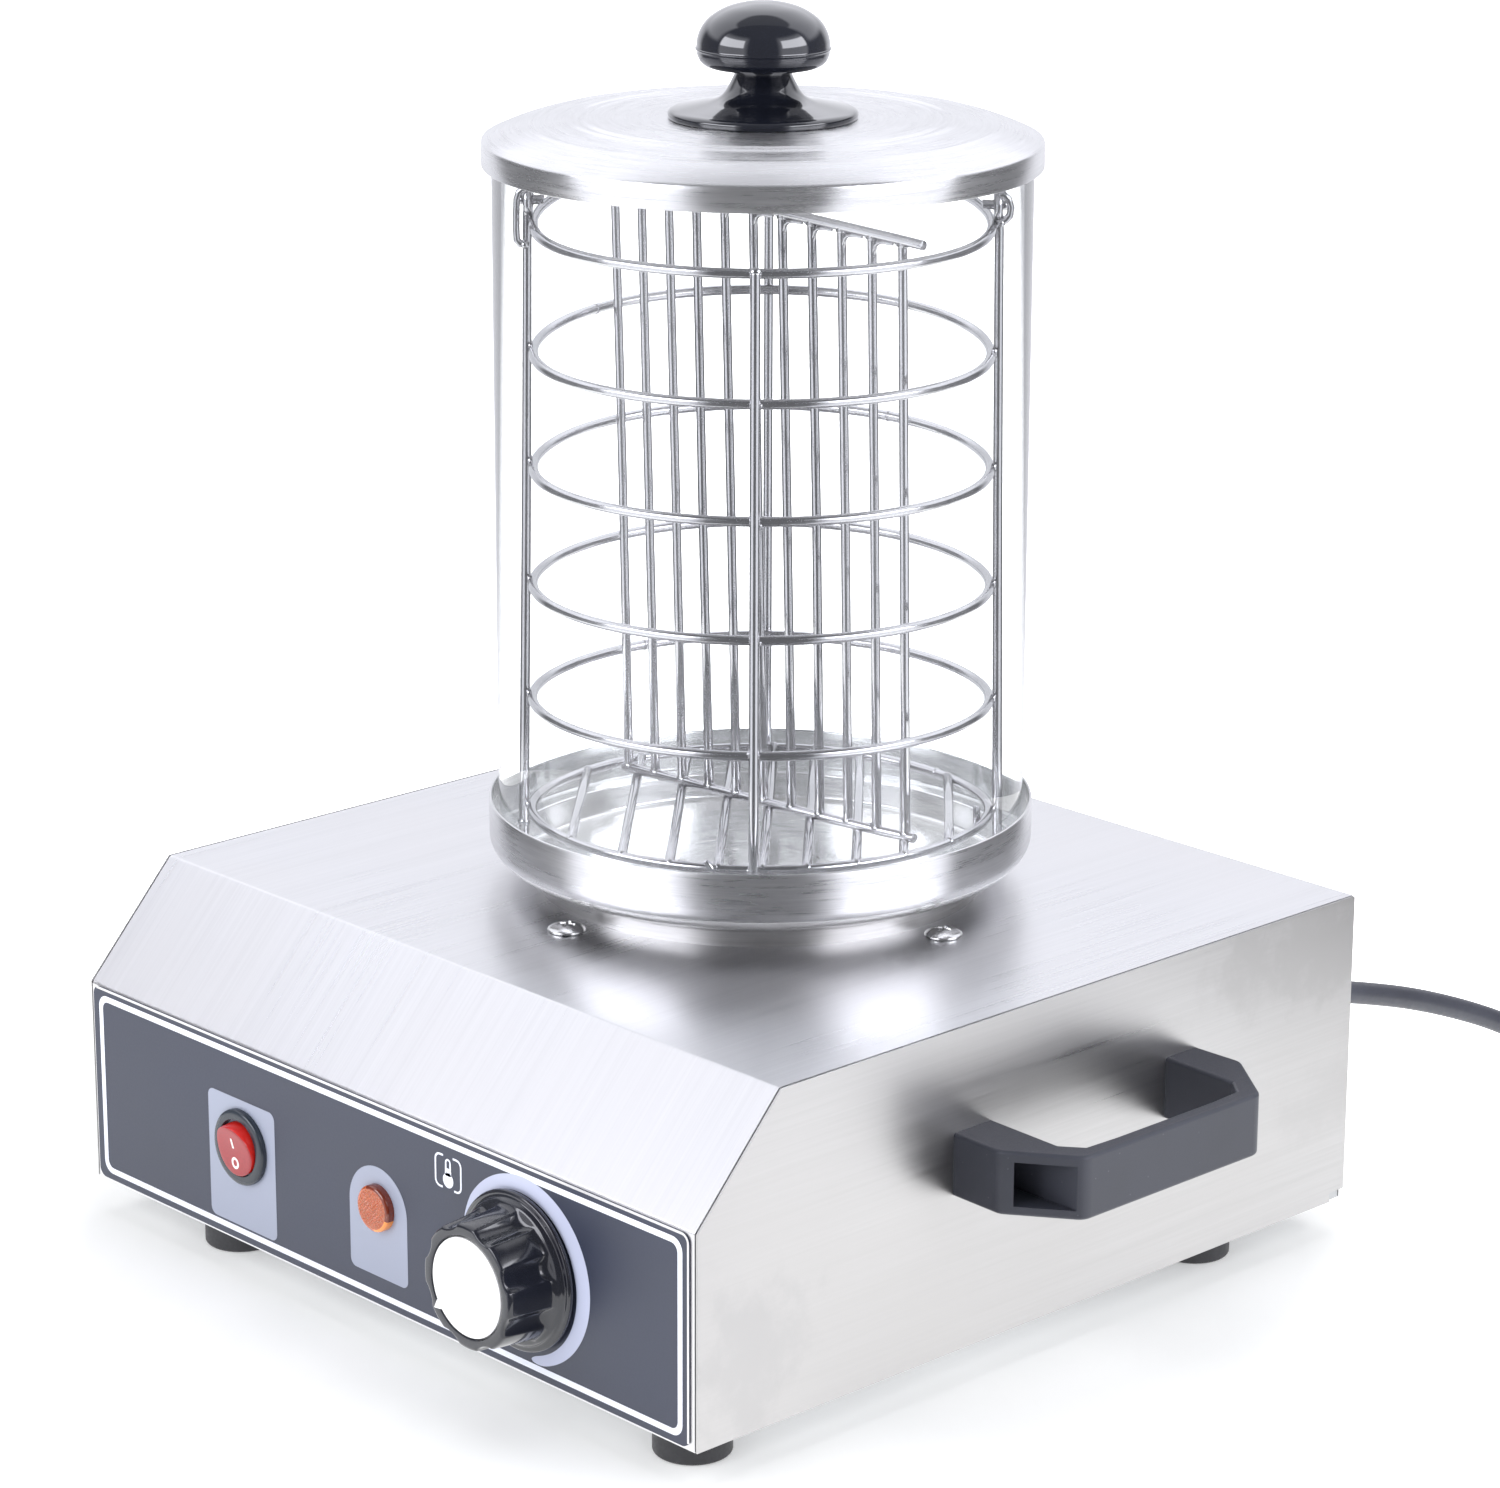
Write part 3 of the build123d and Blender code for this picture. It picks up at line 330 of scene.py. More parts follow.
# ----------------------------------------------------------------------
# Materials
# ----------------------------------------------------------------------
class Mat:
    def __init__(self, name):
        self.mat = bpy.data.materials.new(name)
        self.mat.use_nodes = True
        self.nt = self.mat.node_tree
        self.bsdf = self.nt.nodes["Principled BSDF"]
        self.coord = None

    def n(self, kind, **kw):
        node = self.nt.nodes.new(kind)
        for k, v in kw.items():
            setattr(node, k, v)
        return node

    def l(self, a, b):
        self.nt.links.new(a, b)

    def obj(self):
        if self.coord is None:
            self.coord = self.n("ShaderNodeTexCoord").outputs["Object"]
        return self.coord

    def mapped(self, scale, src=None, loc=(0, 0, 0), rot=(0, 0, 0)):
        mp = self.n("ShaderNodeMapping")
        mp.inputs["Location"].default_value = loc
        mp.inputs["Rotation"].default_value = rot
        mp.inputs["Scale"].default_value = scale
        self.l(src or self.obj(), mp.inputs["Vector"])
        return mp.outputs["Vector"]

    def noise(self, vec, scale=1.0, detail=4.0, rough=0.55, dist=0.0):
        nz = self.n("ShaderNodeTexNoise")
        nz.inputs["Scale"].default_value = scale
        nz.inputs["Detail"].default_value = detail
        nz.inputs["Roughness"].default_value = rough
        nz.inputs["Distortion"].default_value = dist
        self.l(vec, nz.inputs["Vector"])
        return nz.outputs["Fac"]

    def remap(self, val, a, b, lo=0.0, hi=1.0, smooth=False):
        r = self.n("ShaderNodeMapRange")
        if smooth:
            r.interpolation_type = "SMOOTHSTEP"
        r.inputs["From Min"].default_value = lo
        r.inputs["From Max"].default_value = hi
        r.inputs["To Min"].default_value = a
        r.inputs["To Max"].default_value = b
        self.l(val, r.inputs["Value"])
        return r.outputs["Result"]

    def math(self, op, a, b=None, c=None):
        r = self.n("ShaderNodeMath", operation=op)
        for i, q in enumerate((a, b, c)):
            if q is None:
                continue
            if isinstance(q, (int, float)):
                r.inputs[i].default_value = q
            else:
                self.l(q, r.inputs[i])
        return r.outputs[0]

    def mixc(self, fac, a, b):
        r = self.n("ShaderNodeMix", data_type="RGBA")
        self.l(fac, r.inputs[0])
        for i, q in ((6, a), (7, b)):
            if isinstance(q, (tuple, list)):
                r.inputs[i].default_value = (*q, 1.0) if len(q) == 3 else q
            else:
                self.l(q, r.inputs[i])
        return r.outputs[2]

    def set(self, **kw):
        names = {"base": "Base Color", "metal": "Metallic", "rough": "Roughness", "ior": "IOR", "aniso": "Anisotropic",
                 "anirot": "Anisotropic Rotation", "spec": "Specular IOR Level", "coat": "Coat Weight", "coatr": "Coat Roughness",
                 "trans": "Transmission Weight", "sheen": "Sheen Weight", "sheenr": "Sheen Roughness", "emis": "Emission Color",
                 "emiss": "Emission Strength", "sss": "Subsurface Weight", "sssr": "Subsurface Radius", "ssss": "Subsurface Scale"}
        for k, v in kw.items():
            s = self.bsdf.inputs[names[k]]
            if hasattr(v, "is_output") or isinstance(v, bpy.types.NodeSocket):
                self.l(v, s)
            elif isinstance(v, (tuple, list)) and len(v) == 3 and k in ("base", "emis"):
                s.default_value = (*v, 1.0)
            else:
                s.default_value = v
        return self

    def bump(self, height, strength=0.2, dist=0.0002):
        b = self.n("ShaderNodeBump")
        b.inputs["Strength"].default_value = strength
        b.inputs["Distance"].default_value = dist
        self.l(height, b.inputs["Height"])
        self.l(b.outputs["Normal"], self.bsdf.inputs["Normal"])
        return self

    def tangent(self, vec):
        c = self.n("ShaderNodeCombineXYZ")
        for i in range(3):
            c.inputs[i].default_value = vec[i]
        self.l(c.outputs[0], self.bsdf.inputs["Tangent"])
        return self

    def radial_tangent(self):
        t = self.n("ShaderNodeTangent")
        t.direction_type = "RADIAL"
        t.axis = "Z"
        self.l(t.outputs[0], self.bsdf.inputs["Tangent"])
        return self


def sheet_steel(name, grain, base=(0.66, 0.66, 0.67), rough=0.32, tilt=0.0, stains=False, aniso=0.55, blotch=0.05):
    """Brushed sheet: grain gives how fast the pattern changes along x, y, z (1/m)."""
    m = Mat(name)
    g1 = m.noise(m.mapped(grain, rot=(tilt, 0, 0)), 1.0, 3.0, 0.6)
    g2 = m.noise(m.mapped(tuple(q * 0.27 for q in grain), loc=(3.1, 1.7, 0.4), rot=(tilt * 1.3, 0, 0)), 1.0, 3.0, 0.6)
    broad = m.noise(m.mapped((9, 9, 9)), 1.0, 3.0, 0.5)
    fine = m.math("MULTIPLY", m.math("ADD", g1, g2), 0.5)
    dark = tuple(q * 0.93 for q in base)
    light = tuple(min(q * 1.05, 0.98) for q in base)
    col = m.mixc(m.remap(fine, 0, 1, 0.32, 0.68), dark, light)
    warm = tuple(q * w for q, w in zip(base, (1.01, 0.995, 0.975)))
    col = m.mixc(m.remap(broad, 0, 0.5, 0.35, 0.7, True), col, warm)
    r = m.remap(fine, rough - 0.04, rough + 0.05, 0.3, 0.7)
    r = m.math("ADD", r, m.remap(broad, -blotch * 0.5, blotch, 0.35, 0.7))
    if stains:
        # faint dried marks: low at the front, high at the rear
        for (sy, sz, ry, rz, k) in ((-0.117, 0.022, 0.022, 0.024, 0.62), (0.122, 0.088, 0.052, 0.017, 0.85),
                                    (0.130, 0.036, 0.03, 0.012, 0.4)):
            d = m.n("ShaderNodeVectorMath", operation="SUBTRACT")
            m.l(m.obj(), d.inputs[0])
            d.inputs[1].default_value = (0.0, sy + 0.0095, sz + 0.012)
            s = m.n("ShaderNodeVectorMath", operation="MULTIPLY")
            m.l(d.outputs[0], s.inputs[0])
            s.inputs[1].default_value = (0.0, 1 / ry, 1 / rz)
            ln = m.n("ShaderNodeVectorMath", operation="LENGTH")
            m.l(s.outputs[0], ln.inputs[0])
            edge = m.noise(m.mapped((70, 70, 70), loc=(sy * 40, 0, 0)), 1.0, 5.0, 0.65)
            dd = m.math("ADD", ln.outputs["Value"], m.remap(edge, -0.75, 0.75, 0.25, 0.75))
            mask = m.remap(dd, k, 0.0, 0.35, 1.25, True)
            col = m.mixc(mask, col, tuple(q * w for q, w in zip(base, (0.91, 0.905, 0.90))))
            r = m.math("ADD", r, m.math("MULTIPLY", mask, 0.07))
    m.set(base=col, metal=1.0, rough=r, aniso=aniso)
    m.bump(fine, 0.09, 0.00006)
    return m


def turned_steel(name, base=(0.68, 0.68, 0.69), rough=0.3, aniso=0.8, freq=2600.0, strength=0.08):
    """Concentric brushing about the glass cylinder's axis."""
    m = Mat(name)
    sub = m.n("ShaderNodeVectorMath", operation="SUBTRACT")
    m.l(m.obj(), sub.inputs[0])
    sub.inputs[1].default_value = (0.0, (AXIS_Y + SHIFT_Y) / 1000.0, 0.0)
    sep = m.n("ShaderNodeSeparateXYZ")
    m.l(sub.outputs[0], sep.inputs[0])
    x, y, z = sep.outputs
    R = m.math("SQRT", m.math("ADD", m.math("MULTIPLY", x, x), m.math("MULTIPLY", y, y)))
    th = m.math("ARCTAN2", y, x)
    along = m.math("MULTIPLY", m.math("ADD", R, m.math("MULTIPLY", z, 0.83)), freq)

    def ring(k, f, off):
        c = m.n("ShaderNodeCombineXYZ")
        m.l(m.math("ADD", m.math("MULTIPLY", along, f), off), c.inputs[0])
        m.l(m.math("MULTIPLY", m.math("COSINE", th), k), c.inputs[1])
        m.l(m.math("MULTIPLY", m.math("SINE", th), k), c.inputs[2])
        return m.noise(c.outputs[0], 1.0, 3.0, 0.6)
    g1, g2 = ring(2.4, 1.0, 0.0), ring(5.0, 0.31, 9.0)
    fine = m.math("MULTIPLY", m.math("ADD", g1, g2), 0.5)
    broad = m.noise(m.mapped((22, 22, 22)), 1.0, 3.0, 0.5)
    col = m.mixc(m.remap(fine, 0, 1, 0.32, 0.68), tuple(q * 0.86 for q in base), tuple(min(q * 1.1, 0.98) for q in base))
    r = m.remap(fine, rough - 0.07, rough + 0.08, 0.3, 0.7)
    r = m.math("ADD", r, m.remap(broad, -0.02, 0.05, 0.35, 0.7))
    m.set(base=col, metal=1.0, rough=r, aniso=aniso, anirot=0.25)
    m.radial_tangent()
    m.bump(fine, strength, 0.00006)
    return m


def partly_metallic(m, metallic):
    m.set(metal=metallic)
    return m


def metal(name, base, rough, scale=300.0, var=0.05, tint=0.9, bump=0.03):
    m = Mat(name)
    a = m.noise(m.mapped((scale, scale, scale)), 1.0, 4.0, 0.6)
    b = m.noise(m.mapped((scale * 0.11,) * 3), 1.0, 3.0, 0.5)
    col = m.mixc(m.remap(b, 0, 1, 0.3, 0.7), tuple(q * tint for q in base), base)
    m.set(base=col, metal=1.0, rough=m.math("ADD", m.remap(a, rough - var * 0.6, rough + var, 0.3, 0.7), m.remap(b, 0.0, var * 0.8, 0.4, 0.7)))
    if bump:
        m.bump(a, bump, 0.0001)
    return m


def plastic(name, base, rough, scale=900.0, var=0.04, light=1.25, bump=0.05, dist=0.0001, coat=0.0, spec=0.5, dust=0.0):
    m = Mat(name)
    a = m.noise(m.mapped((scale, scale, scale)), 1.0, 4.0, 0.6)
    b = m.noise(m.mapped((26, 26, 26), loc=(0.3, 2.2, 1.1)), 1.0, 4.0, 0.55)
    col = m.mixc(m.remap(b, 0, 1, 0.32, 0.68), base, tuple(min(q * light, 0.98) for q in base))
    if dust:
        sp = m.n("ShaderNodeTexVoronoi")
        sp.inputs["Scale"].default_value = 260.0
        m.l(m.mapped((1, 1, 1)), sp.inputs["Vector"])
        dm = m.remap(sp.outputs["Distance"], dust, 0.0, 0.03, 0.075)
        col = m.mixc(dm, col, (0.5, 0.51, 0.53))
    m.set(base=col, rough=m.math("ADD", m.remap(a, rough - var, rough + var, 0.3, 0.7), m.remap(b, 0.0, var, 0.4, 0.7)), spec=spec)
    if coat:
        m.set(coat=coat, coatr=0.04)
    if bump:
        m.bump(a, bump, dist)
    return m


M = {}
M["housing"] = sheet_steel("housing_steel", (1500, 16, 16), base=(0.70, 0.70, 0.715), rough=0.30, aniso=0.5).tangent((1, 0, 0))
# darker copy of the sheet steel for the side panels: painted shade, with real stains on top
M["side"] = sheet_steel("side_steel", (16, 22, 1300), base=(0.485, 0.48, 0.48), rough=0.32, tilt=0.05, stains=True, aniso=0.5).tangent((0, 0, 1))
M["rear"] = sheet_steel("rear_steel", (22, 16, 1300), base=(0.66, 0.66, 0.66), rough=0.36, aniso=0.45).tangent((0, 0, 1))
M["galv"] = metal("galvanised_steel", (0.55, 0.56, 0.57), 0.45, 120.0, 0.1, 0.75)
M["lid"] = turned_steel("lid_steel", base=(0.70, 0.70, 0.71), rough=0.28, aniso=0.82, freq=2400)
M["tray"] = turned_steel("tray_steel", base=(0.68, 0.68, 0.69), rough=0.30, aniso=0.78, freq=2000)
# brighter, partly diffuse copy of the tray steel for the floor's upper side: painted light
M["trayin"] = turned_steel("tray_floor_painted_light", base=(0.93, 0.93, 0.93), rough=0.19, aniso=0.65, freq=1500, strength=0.10)
partly_metallic(M["trayin"], 0.78)
M["collar"] = turned_steel("collar_steel", base=(0.50, 0.495, 0.49), rough=0.32, aniso=0.7, freq=2000)
M["plate"] = turned_steel("plate_aluminium", base=(0.70, 0.70, 0.71), rough=0.36, aniso=0.7, freq=1400, strength=0.14)
M["wire"] = metal("wire_chrome", (0.58, 0.575, 0.59), 0.12, 500.0, 0.05, 0.93, 0.02)
M["screw"] = metal("screw_steel", (0.70, 0.70, 0.70), 0.2, 400.0, 0.07, 0.88)
M["zinc"] = metal("zinc", (0.66, 0.66, 0.64), 0.26, 260.0, 0.08, 0.85)
M["copper"] = metal("copper_capillary", (0.72, 0.42, 0.28), 0.25, 260.0, 0.08, 0.8)
M["element"] = metal("element_steel", (0.33, 0.31, 0.30), 0.4, 160.0, 0.1, 0.6)
M["thermo"] = metal("thermostat_metal", (0.62, 0.62, 0.62), 0.4, 160.0, 0.08, 0.85)
M["brass"] = metal("pin_brass", (0.74, 0.72, 0.68), 0.2, 260.0, 0.06, 0.9)
M["overlay"] = plastic("overlay_blue", (0.026, 0.031, 0.054), 0.40, 1400.0, 0.04, 1.12, 0.05, 0.00004)
M["print"] = plastic("print_pale", (0.29, 0.315, 0.405), 0.42, 1400.0, 0.04, 1.04, 0.04, 0.00003)
M["line"] = plastic("print_line", (0.80, 0.83, 0.95), 0.42, 1400.0, 0.04, 1.03, 0.04, 0.00003)
M["crescent"] = plastic("print_crescent", (0.46, 0.49, 0.64), 0.42, 1400.0, 0.04, 1.04, 0.04, 0.00003)
M["gloss"] = plastic("gloss_black", (0.007, 0.008, 0.013), 0.07, 500.0, 0.02, 1.5, 0.0, 0.0001, coat=0.9)
M["knob"] = plastic("knob_black", (0.008, 0.009, 0.014), 0.13, 500.0, 0.04, 1.6, 0.02, 0.0001, coat=0.35)
M["bezel"] = plastic("switch_black", (0.020, 0.026, 0.036), 0.20, 700.0, 0.04, 1.3, 0.02, 0.00006)
M["disc"] = plastic("knob_white", (0.88, 0.88, 0.90), 0.34, 700.0, 0.04, 1.02, 0.02, 0.00005)
M["mark"] = plastic("mark_white", (0.86, 0.80, 0.80), 0.4, 700.0, 0.04, 1.04, 0.02, 0.00005)
M["handle"] = plastic("handle_black", (0.028, 0.030, 0.041), 0.46, 2600.0, 0.05, 1.25, 0.22, 0.0001, dust=0.10)
M["rubber"] = plastic("foot_rubber", (0.022, 0.022, 0.025), 0.6, 900.0, 0.06, 1.5, 0.2, 0.0001)
M["cord"] = plastic("cord_sheath", (0.036, 0.038, 0.050), 0.42, 500.0, 0.06, 1.4, 0.12, 0.00008)
M["plug"] = plastic("plug_black", (0.028, 0.029, 0.034), 0.42, 700.0, 0.06, 1.4, 0.15, 0.00008)
M["white"] = plastic("terminal_white", (0.80, 0.79, 0.75), 0.35, 500.0, 0.05, 1.05, 0.05)
M["lampbody"] = plastic("lamp_body", (0.72, 0.71, 0.68), 0.4, 500.0, 0.05, 1.05, 0.05)
M["sleeve"] = plastic("wire_insulation", (0.30, 0.18, 0.11), 0.6, 900.0, 0.06, 1.3, 0.3)
M["pad"] = plastic("insulation_white", (0.80, 0.79, 0.75), 0.85, 240.0, 0.05, 1.08, 0.8, 0.0006)
# near-black material standing in for shade: painted shade in the side seams and in the crevice under the tray
M["gap"] = plastic("seam_painted_shade", (0.02, 0.02, 0.022), 0.6, 700.0, 0.05, 1.4, 0.1)

mr = Mat("rocker_red")
nf = mr.noise(mr.mapped((1600, 1600, 1600)), 1.0, 4.0, 0.6)
mr.set(base=mr.mixc(mr.remap(nf, 0, 1, 0.35, 0.65), (0.27, 0.018, 0.024), (0.33, 0.030, 0.036)), rough=mr.remap(nf, 0.34, 0.46, 0.3, 0.7), sss=0.25,
       coat=0.15)
mr.bsdf.inputs["Subsurface Radius"].default_value = (0.004, 0.0006, 0.0005)
mr.bsdf.inputs["Subsurface Scale"].default_value = 0.5
mr.bump(nf, 0.1, 0.00005)
M["red"] = mr
ms = Mat("rocker_red_gloss")
nf = ms.noise(ms.mapped((500, 500, 500)), 1.0, 3.0, 0.6)
ms.set(base=ms.mixc(nf, (0.58, 0.014, 0.012), (0.74, 0.030, 0.020)), rough=ms.remap(nf, 0.06, 0.14, 0.3, 0.7), sss=0.35, coat=0.4)
ms.bsdf.inputs["Subsurface Radius"].default_value = (0.004, 0.0006, 0.0005)
ms.bsdf.inputs["Subsurface Scale"].default_value = 0.5
M["redgloss"] = ms

ma = Mat("lens_amber")
nf = ma.noise(ma.mapped((900, 900, 900)), 1.0, 3.0, 0.6)
ma.set(base=ma.mixc(nf, (0.34, 0.080, 0.028), (0.47, 0.120, 0.044)), rough=ma.remap(nf, 0.10, 0.22, 0.3, 0.7), sss=0.5, coat=0.4)
ma.bsdf.inputs["Subsurface Radius"].default_value = (0.005, 0.002, 0.0006)
ma.bsdf.inputs["Subsurface Scale"].default_value = 0.5
M["amber"] = ma
mb = Mat("lens_amber_rim")
nf = mb.noise(mb.mapped((400, 400, 400)), 1.0, 3.0, 0.6)
mb.set(base=mb.mixc(nf, (0.36, 0.06, 0.014), (0.52, 0.12, 0.03)), rough=mb.remap(nf, 0.05, 0.12, 0.3, 0.7), sss=0.3, coat=0.5)
mb.bsdf.inputs["Subsurface Radius"].default_value = (0.005, 0.002, 0.0006)
mb.bsdf.inputs["Subsurface Scale"].default_value = 0.5
M["amberrim"] = mb
# dark and bright copies of the rim's amber: painted shade and painted light for the rim's sides
M["amberdark"] = plastic("lens_amber_painted_shade", (0.15, 0.022, 0.007), 0.08, 400.0, 0.03, 1.3, 0.0, 0.0001, coat=0.5)
M["amberlit"] = plastic("lens_amber_painted_light", (0.80, 0.26, 0.05), 0.10, 400.0, 0.03, 1.1, 0.0, 0.0001, coat=0.4)

# clear glass; rays to the lights pass it without a caustic's shadow
mg = Mat("clear_glass")
sm = mg.noise(mg.mapped((30, 30, 12)), 1.0, 3.0, 0.5)
mg.set(base=(0.985, 0.992, 0.992), rough=mg.remap(sm, 0.0, 0.02, 0.45, 0.75), ior=1.45, trans=1.0)
out = mg.nt.nodes["Material Output"]
tr = mg.n("ShaderNodeBsdfTransparent")
tr.inputs["Color"].default_value = (0.985, 0.99, 0.992, 1)
lp = mg.n("ShaderNodeLightPath")
mx = mg.n("ShaderNodeMixShader")
mx0 = mg.n("ShaderNodeMixShader")
mg.l(lp.outputs["Is Reflection Ray"], mx0.inputs[0])
mg.l(mg.bsdf.outputs[0], mx0.inputs[1])
mg.l(tr.outputs[0], mx0.inputs[2])
mg.l(lp.outputs["Is Shadow Ray"], mx.inputs[0])
mg.l(mx0.outputs[0], mx.inputs[1])
mg.l(tr.outputs[0], mx.inputs[2])
mg.l(mx.outputs[0], out.inputs["Surface"])
M["glass"] = mg


def paint(node, mat):
    ob = NODES[node]
    ob.data.materials.clear()
    ob.data.materials.append(M[mat].mat)


for k, v in {
    "housing_shell": "housing", "rear_panel": "rear", "base_plate": "galv", "front_overlay": "overlay",
    "thermostat_body": "thermo", "thermostat_nut": "zinc", "thermostat_bulb": "copper", "thermostat_shaft": "zinc",
    "heater_collar": "collar", "heating_plate": "plate", "heating_element": "element", "insulation_pad": "pad",
    "heat_shield": "galv", "collar_screws": "screw", "thermal_cutout": "thermo", "terminal_block": "white",
    "terminal_screws": "zinc", "internal_wires": "sleeve", "earth_stud": "zinc", "handle_left": "handle",
    "handle_right": "handle", "handle_screws": "screw", "rear_screws": "screw", "feet": "rubber", "foot_screws": "screw",
    "strain_relief": "cord", "mains_plug": "plug", "plug_pins": "brass", "pilot_lamp_body": "lampbody",
    "rocker_switch_body": "bezel", "rocker_button": "redgloss", "pilot_lamp_lens": "amber", "control_knob": "knob",
    "knob_face_disc": "disc", "tray": "tray", "glass_cylinder": "glass", "lid": "lid", "lid_knob": "gloss",
    "lid_knob_screw": "screw", "side_panel_left": "side", "side_panel_right": "side", "divider": "wire",
    "basket_rings": "wire", "basket_uprights": "wire", "basket_floor_grid": "wire", "bail_handle": "wire",
    "mains_cord": "cord", "cord_coil": "cord", "cord_tail": "cord",
}.items():
    paint(k, v)

# ----------------------------------------------------------------------
# Mains cord: route points of the free tube, then the coil's turns, then
# the short end to the plug, all control points of one spline
# ----------------------------------------------------------------------
FLOOR = -FOOT_H
CORD_R = 3.6
ZF = FLOOR + CORD_R
TIP = (110.0, 163.9100, 53.9864)
ROUTE = [TIP, (110.0, 182.0, 49.0), (110.2, 212.0, 39.3), (110.4, 249.0, 23.8), (111.4, 279.0, 7.0),
         (112.8, 303.0, -4.6), (113.9, 321.5, ZF), (114.8, 335.0, ZF)]
CX, CY = 163.8, 340.0
coil = []
STEP = 18
n_turns = 5.3
k = 1
while k / STEP <= n_turns + 1e-9:
    t = k / STEP
    if t <= 3.0:
        R, z = 49.0 - 7.45 * t, ZF
    elif t <= 3.25:
        s = (t - 3.0) / 0.25
        R, z = 26.65 + 1.35 * s, ZF + 7.0 * s
    else:
        R, z = 28.0 + 7.45 * (t - 3.25), ZF + 7.0
    a = math.radians(180.0 - 360.0 * t)
    coil.append((CX + R * math.cos(a), CY + R * math.sin(a), z))
    k += 1
TAIL = [(194.4, 372.2, 0.4), (198.1, 361.0, 3.2), (198.8, 349.0, 5.8)]
cu = bpy.data.curves.new("mains_cord_flex", "CURVE")
cu.dimensions = "3D"
sp = cu.splines.new("NURBS")
pts = [P(*q) for q in ROUTE + coil + TAIL]
sp.points.add(len(pts) - 1)
for q, p in zip(sp.points, pts):
    q.co = (*p, 1.0)
sp.order_u = 3
sp.use_endpoint_u = True
sp.resolution_u = 8
cu.bevel_depth = CORD_R / 1000.0
cu.bevel_resolution = 5
cu.use_fill_caps = True
cu.materials.append(M["cord"].mat)
cord = link(bpy.data.objects.new("mains_cord_flex", cu))
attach(cord, "base")
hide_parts("mains_cord", "cord_coil", "cord_tail")

# strain relief: ribbed tapered sleeve with its flange
rd = Vector((0, math.cos(math.radians(12)), -math.sin(math.radians(12))))
ra = Vector((110.0, 137.5, 59.6))
rx = Vector((1, 0, 0))
prof = [(0.0, -0.5), (6.0, -0.5)]
for i in range(8):
    h = 4.2 + i * 2.55
    rr = 6.0 - (6.0 - 4.7) * (h / 27.0)
    prof += [(rr, h), (rr, h + 1.35), (rr - 0.75, h + 1.5), (rr - 0.75, h + 2.3)]
prof += [(4.7, 25.2), (4.55, 26.6), (4.2, 27.0), (0.0, 27.0)]
pt = Part()
pt.lathe(prof, c=ra, ez=rd, ex=rx, n=40)
pt.lathe(rounded([(0, 0), (9.0, 0), (9.0, 3.0), (0, 3.0)], 0.8), c=(110.0, 137.5, 59.6), ez=(0, 1, 0), ex=(1, 0, 0), n=48)
pt.lathe([(0, -4.2), (8.2, -4.2), (8.2, -1.0), (6.5, -1.0), (6.5, 0.5), (0, 0.5)], c=(110.0, 137.5, 59.6), ez=(0, 1, 0), ex=(1, 0, 0), n=48)
relief = pt.build("cord_relief", M["cord"].mat, "base", ("strain_relief",), weld=False)

# plug lying on the coil
PLUG_O = Vector((198.8, 328.0487, 12.8))
pd = Vector((0, -1, 0))


def plug_ring(d, w, h, r, n=7):
    o = PLUG_O + pd * d
    return [(o.x + a, o.y, o.z + b) for a, b in rrect(-w / 2, w / 2, -h / 2, h / 2, r, n)]


pt = Part()
rings = [plug_ring(-0.0, 13.0, 11.5, 5.5), plug_ring(0.6, 15.2, 13.4, 6.0), plug_ring(5.0, 19.5, 15.0, 6.6),
         plug_ring(10.0, 24.5, 16.8, 7.3)]
for i in range(4):          # finger grooves
    d = 12.0 + i * 3.0
    w, h = 26.4 + i * 2.1, 17.6 + i * 0.85
    rings += [plug_ring(d, w, h, 8.0), plug_ring(d + 0.5, w - 1.2, h - 1.0, 7.6), plug_ring(d + 1.3, w - 1.0, h - 0.9, 7.7), plug_ring(d + 1.8, w + 1.2, h + 0.5, 8.3)]
rings += [plug_ring(26.0, 34.2, 20.8, 9.0), plug_ring(32.2, 34.5, 21.0, 9.0), plug_ring(32.8, 34.0, 20.5, 8.8), plug_ring(33.0, 33.2, 19.8, 8.5)]
pt.loft(rings)
td = Vector((0, math.cos(math.radians(17)), -math.sin(math.radians(17))))
t0 = PLUG_O + pd * 2.0
prof = [(0.0, 0.0), (5.6, 0.0)]
for i in range(7):
    h = 2.0 + i * 2.9
    rr = 5.6 - 1.1 * (h / 24.0)
    prof += [(rr, h), (rr, h + 1.5), (rr - 0.7, h + 1.7), (rr - 0.7, h + 2.7)]
prof += [(4.5, 22.5), (4.5, 23.6), (4.2, 24.0), (0.0, 24.0)]
pt.lathe(prof, c=t0, ez=td, ex=(1, 0, 0), n=40)
plug = pt.build("plug_moulding", M["plug"].mat, "base", ("mains_plug",), weld=False)

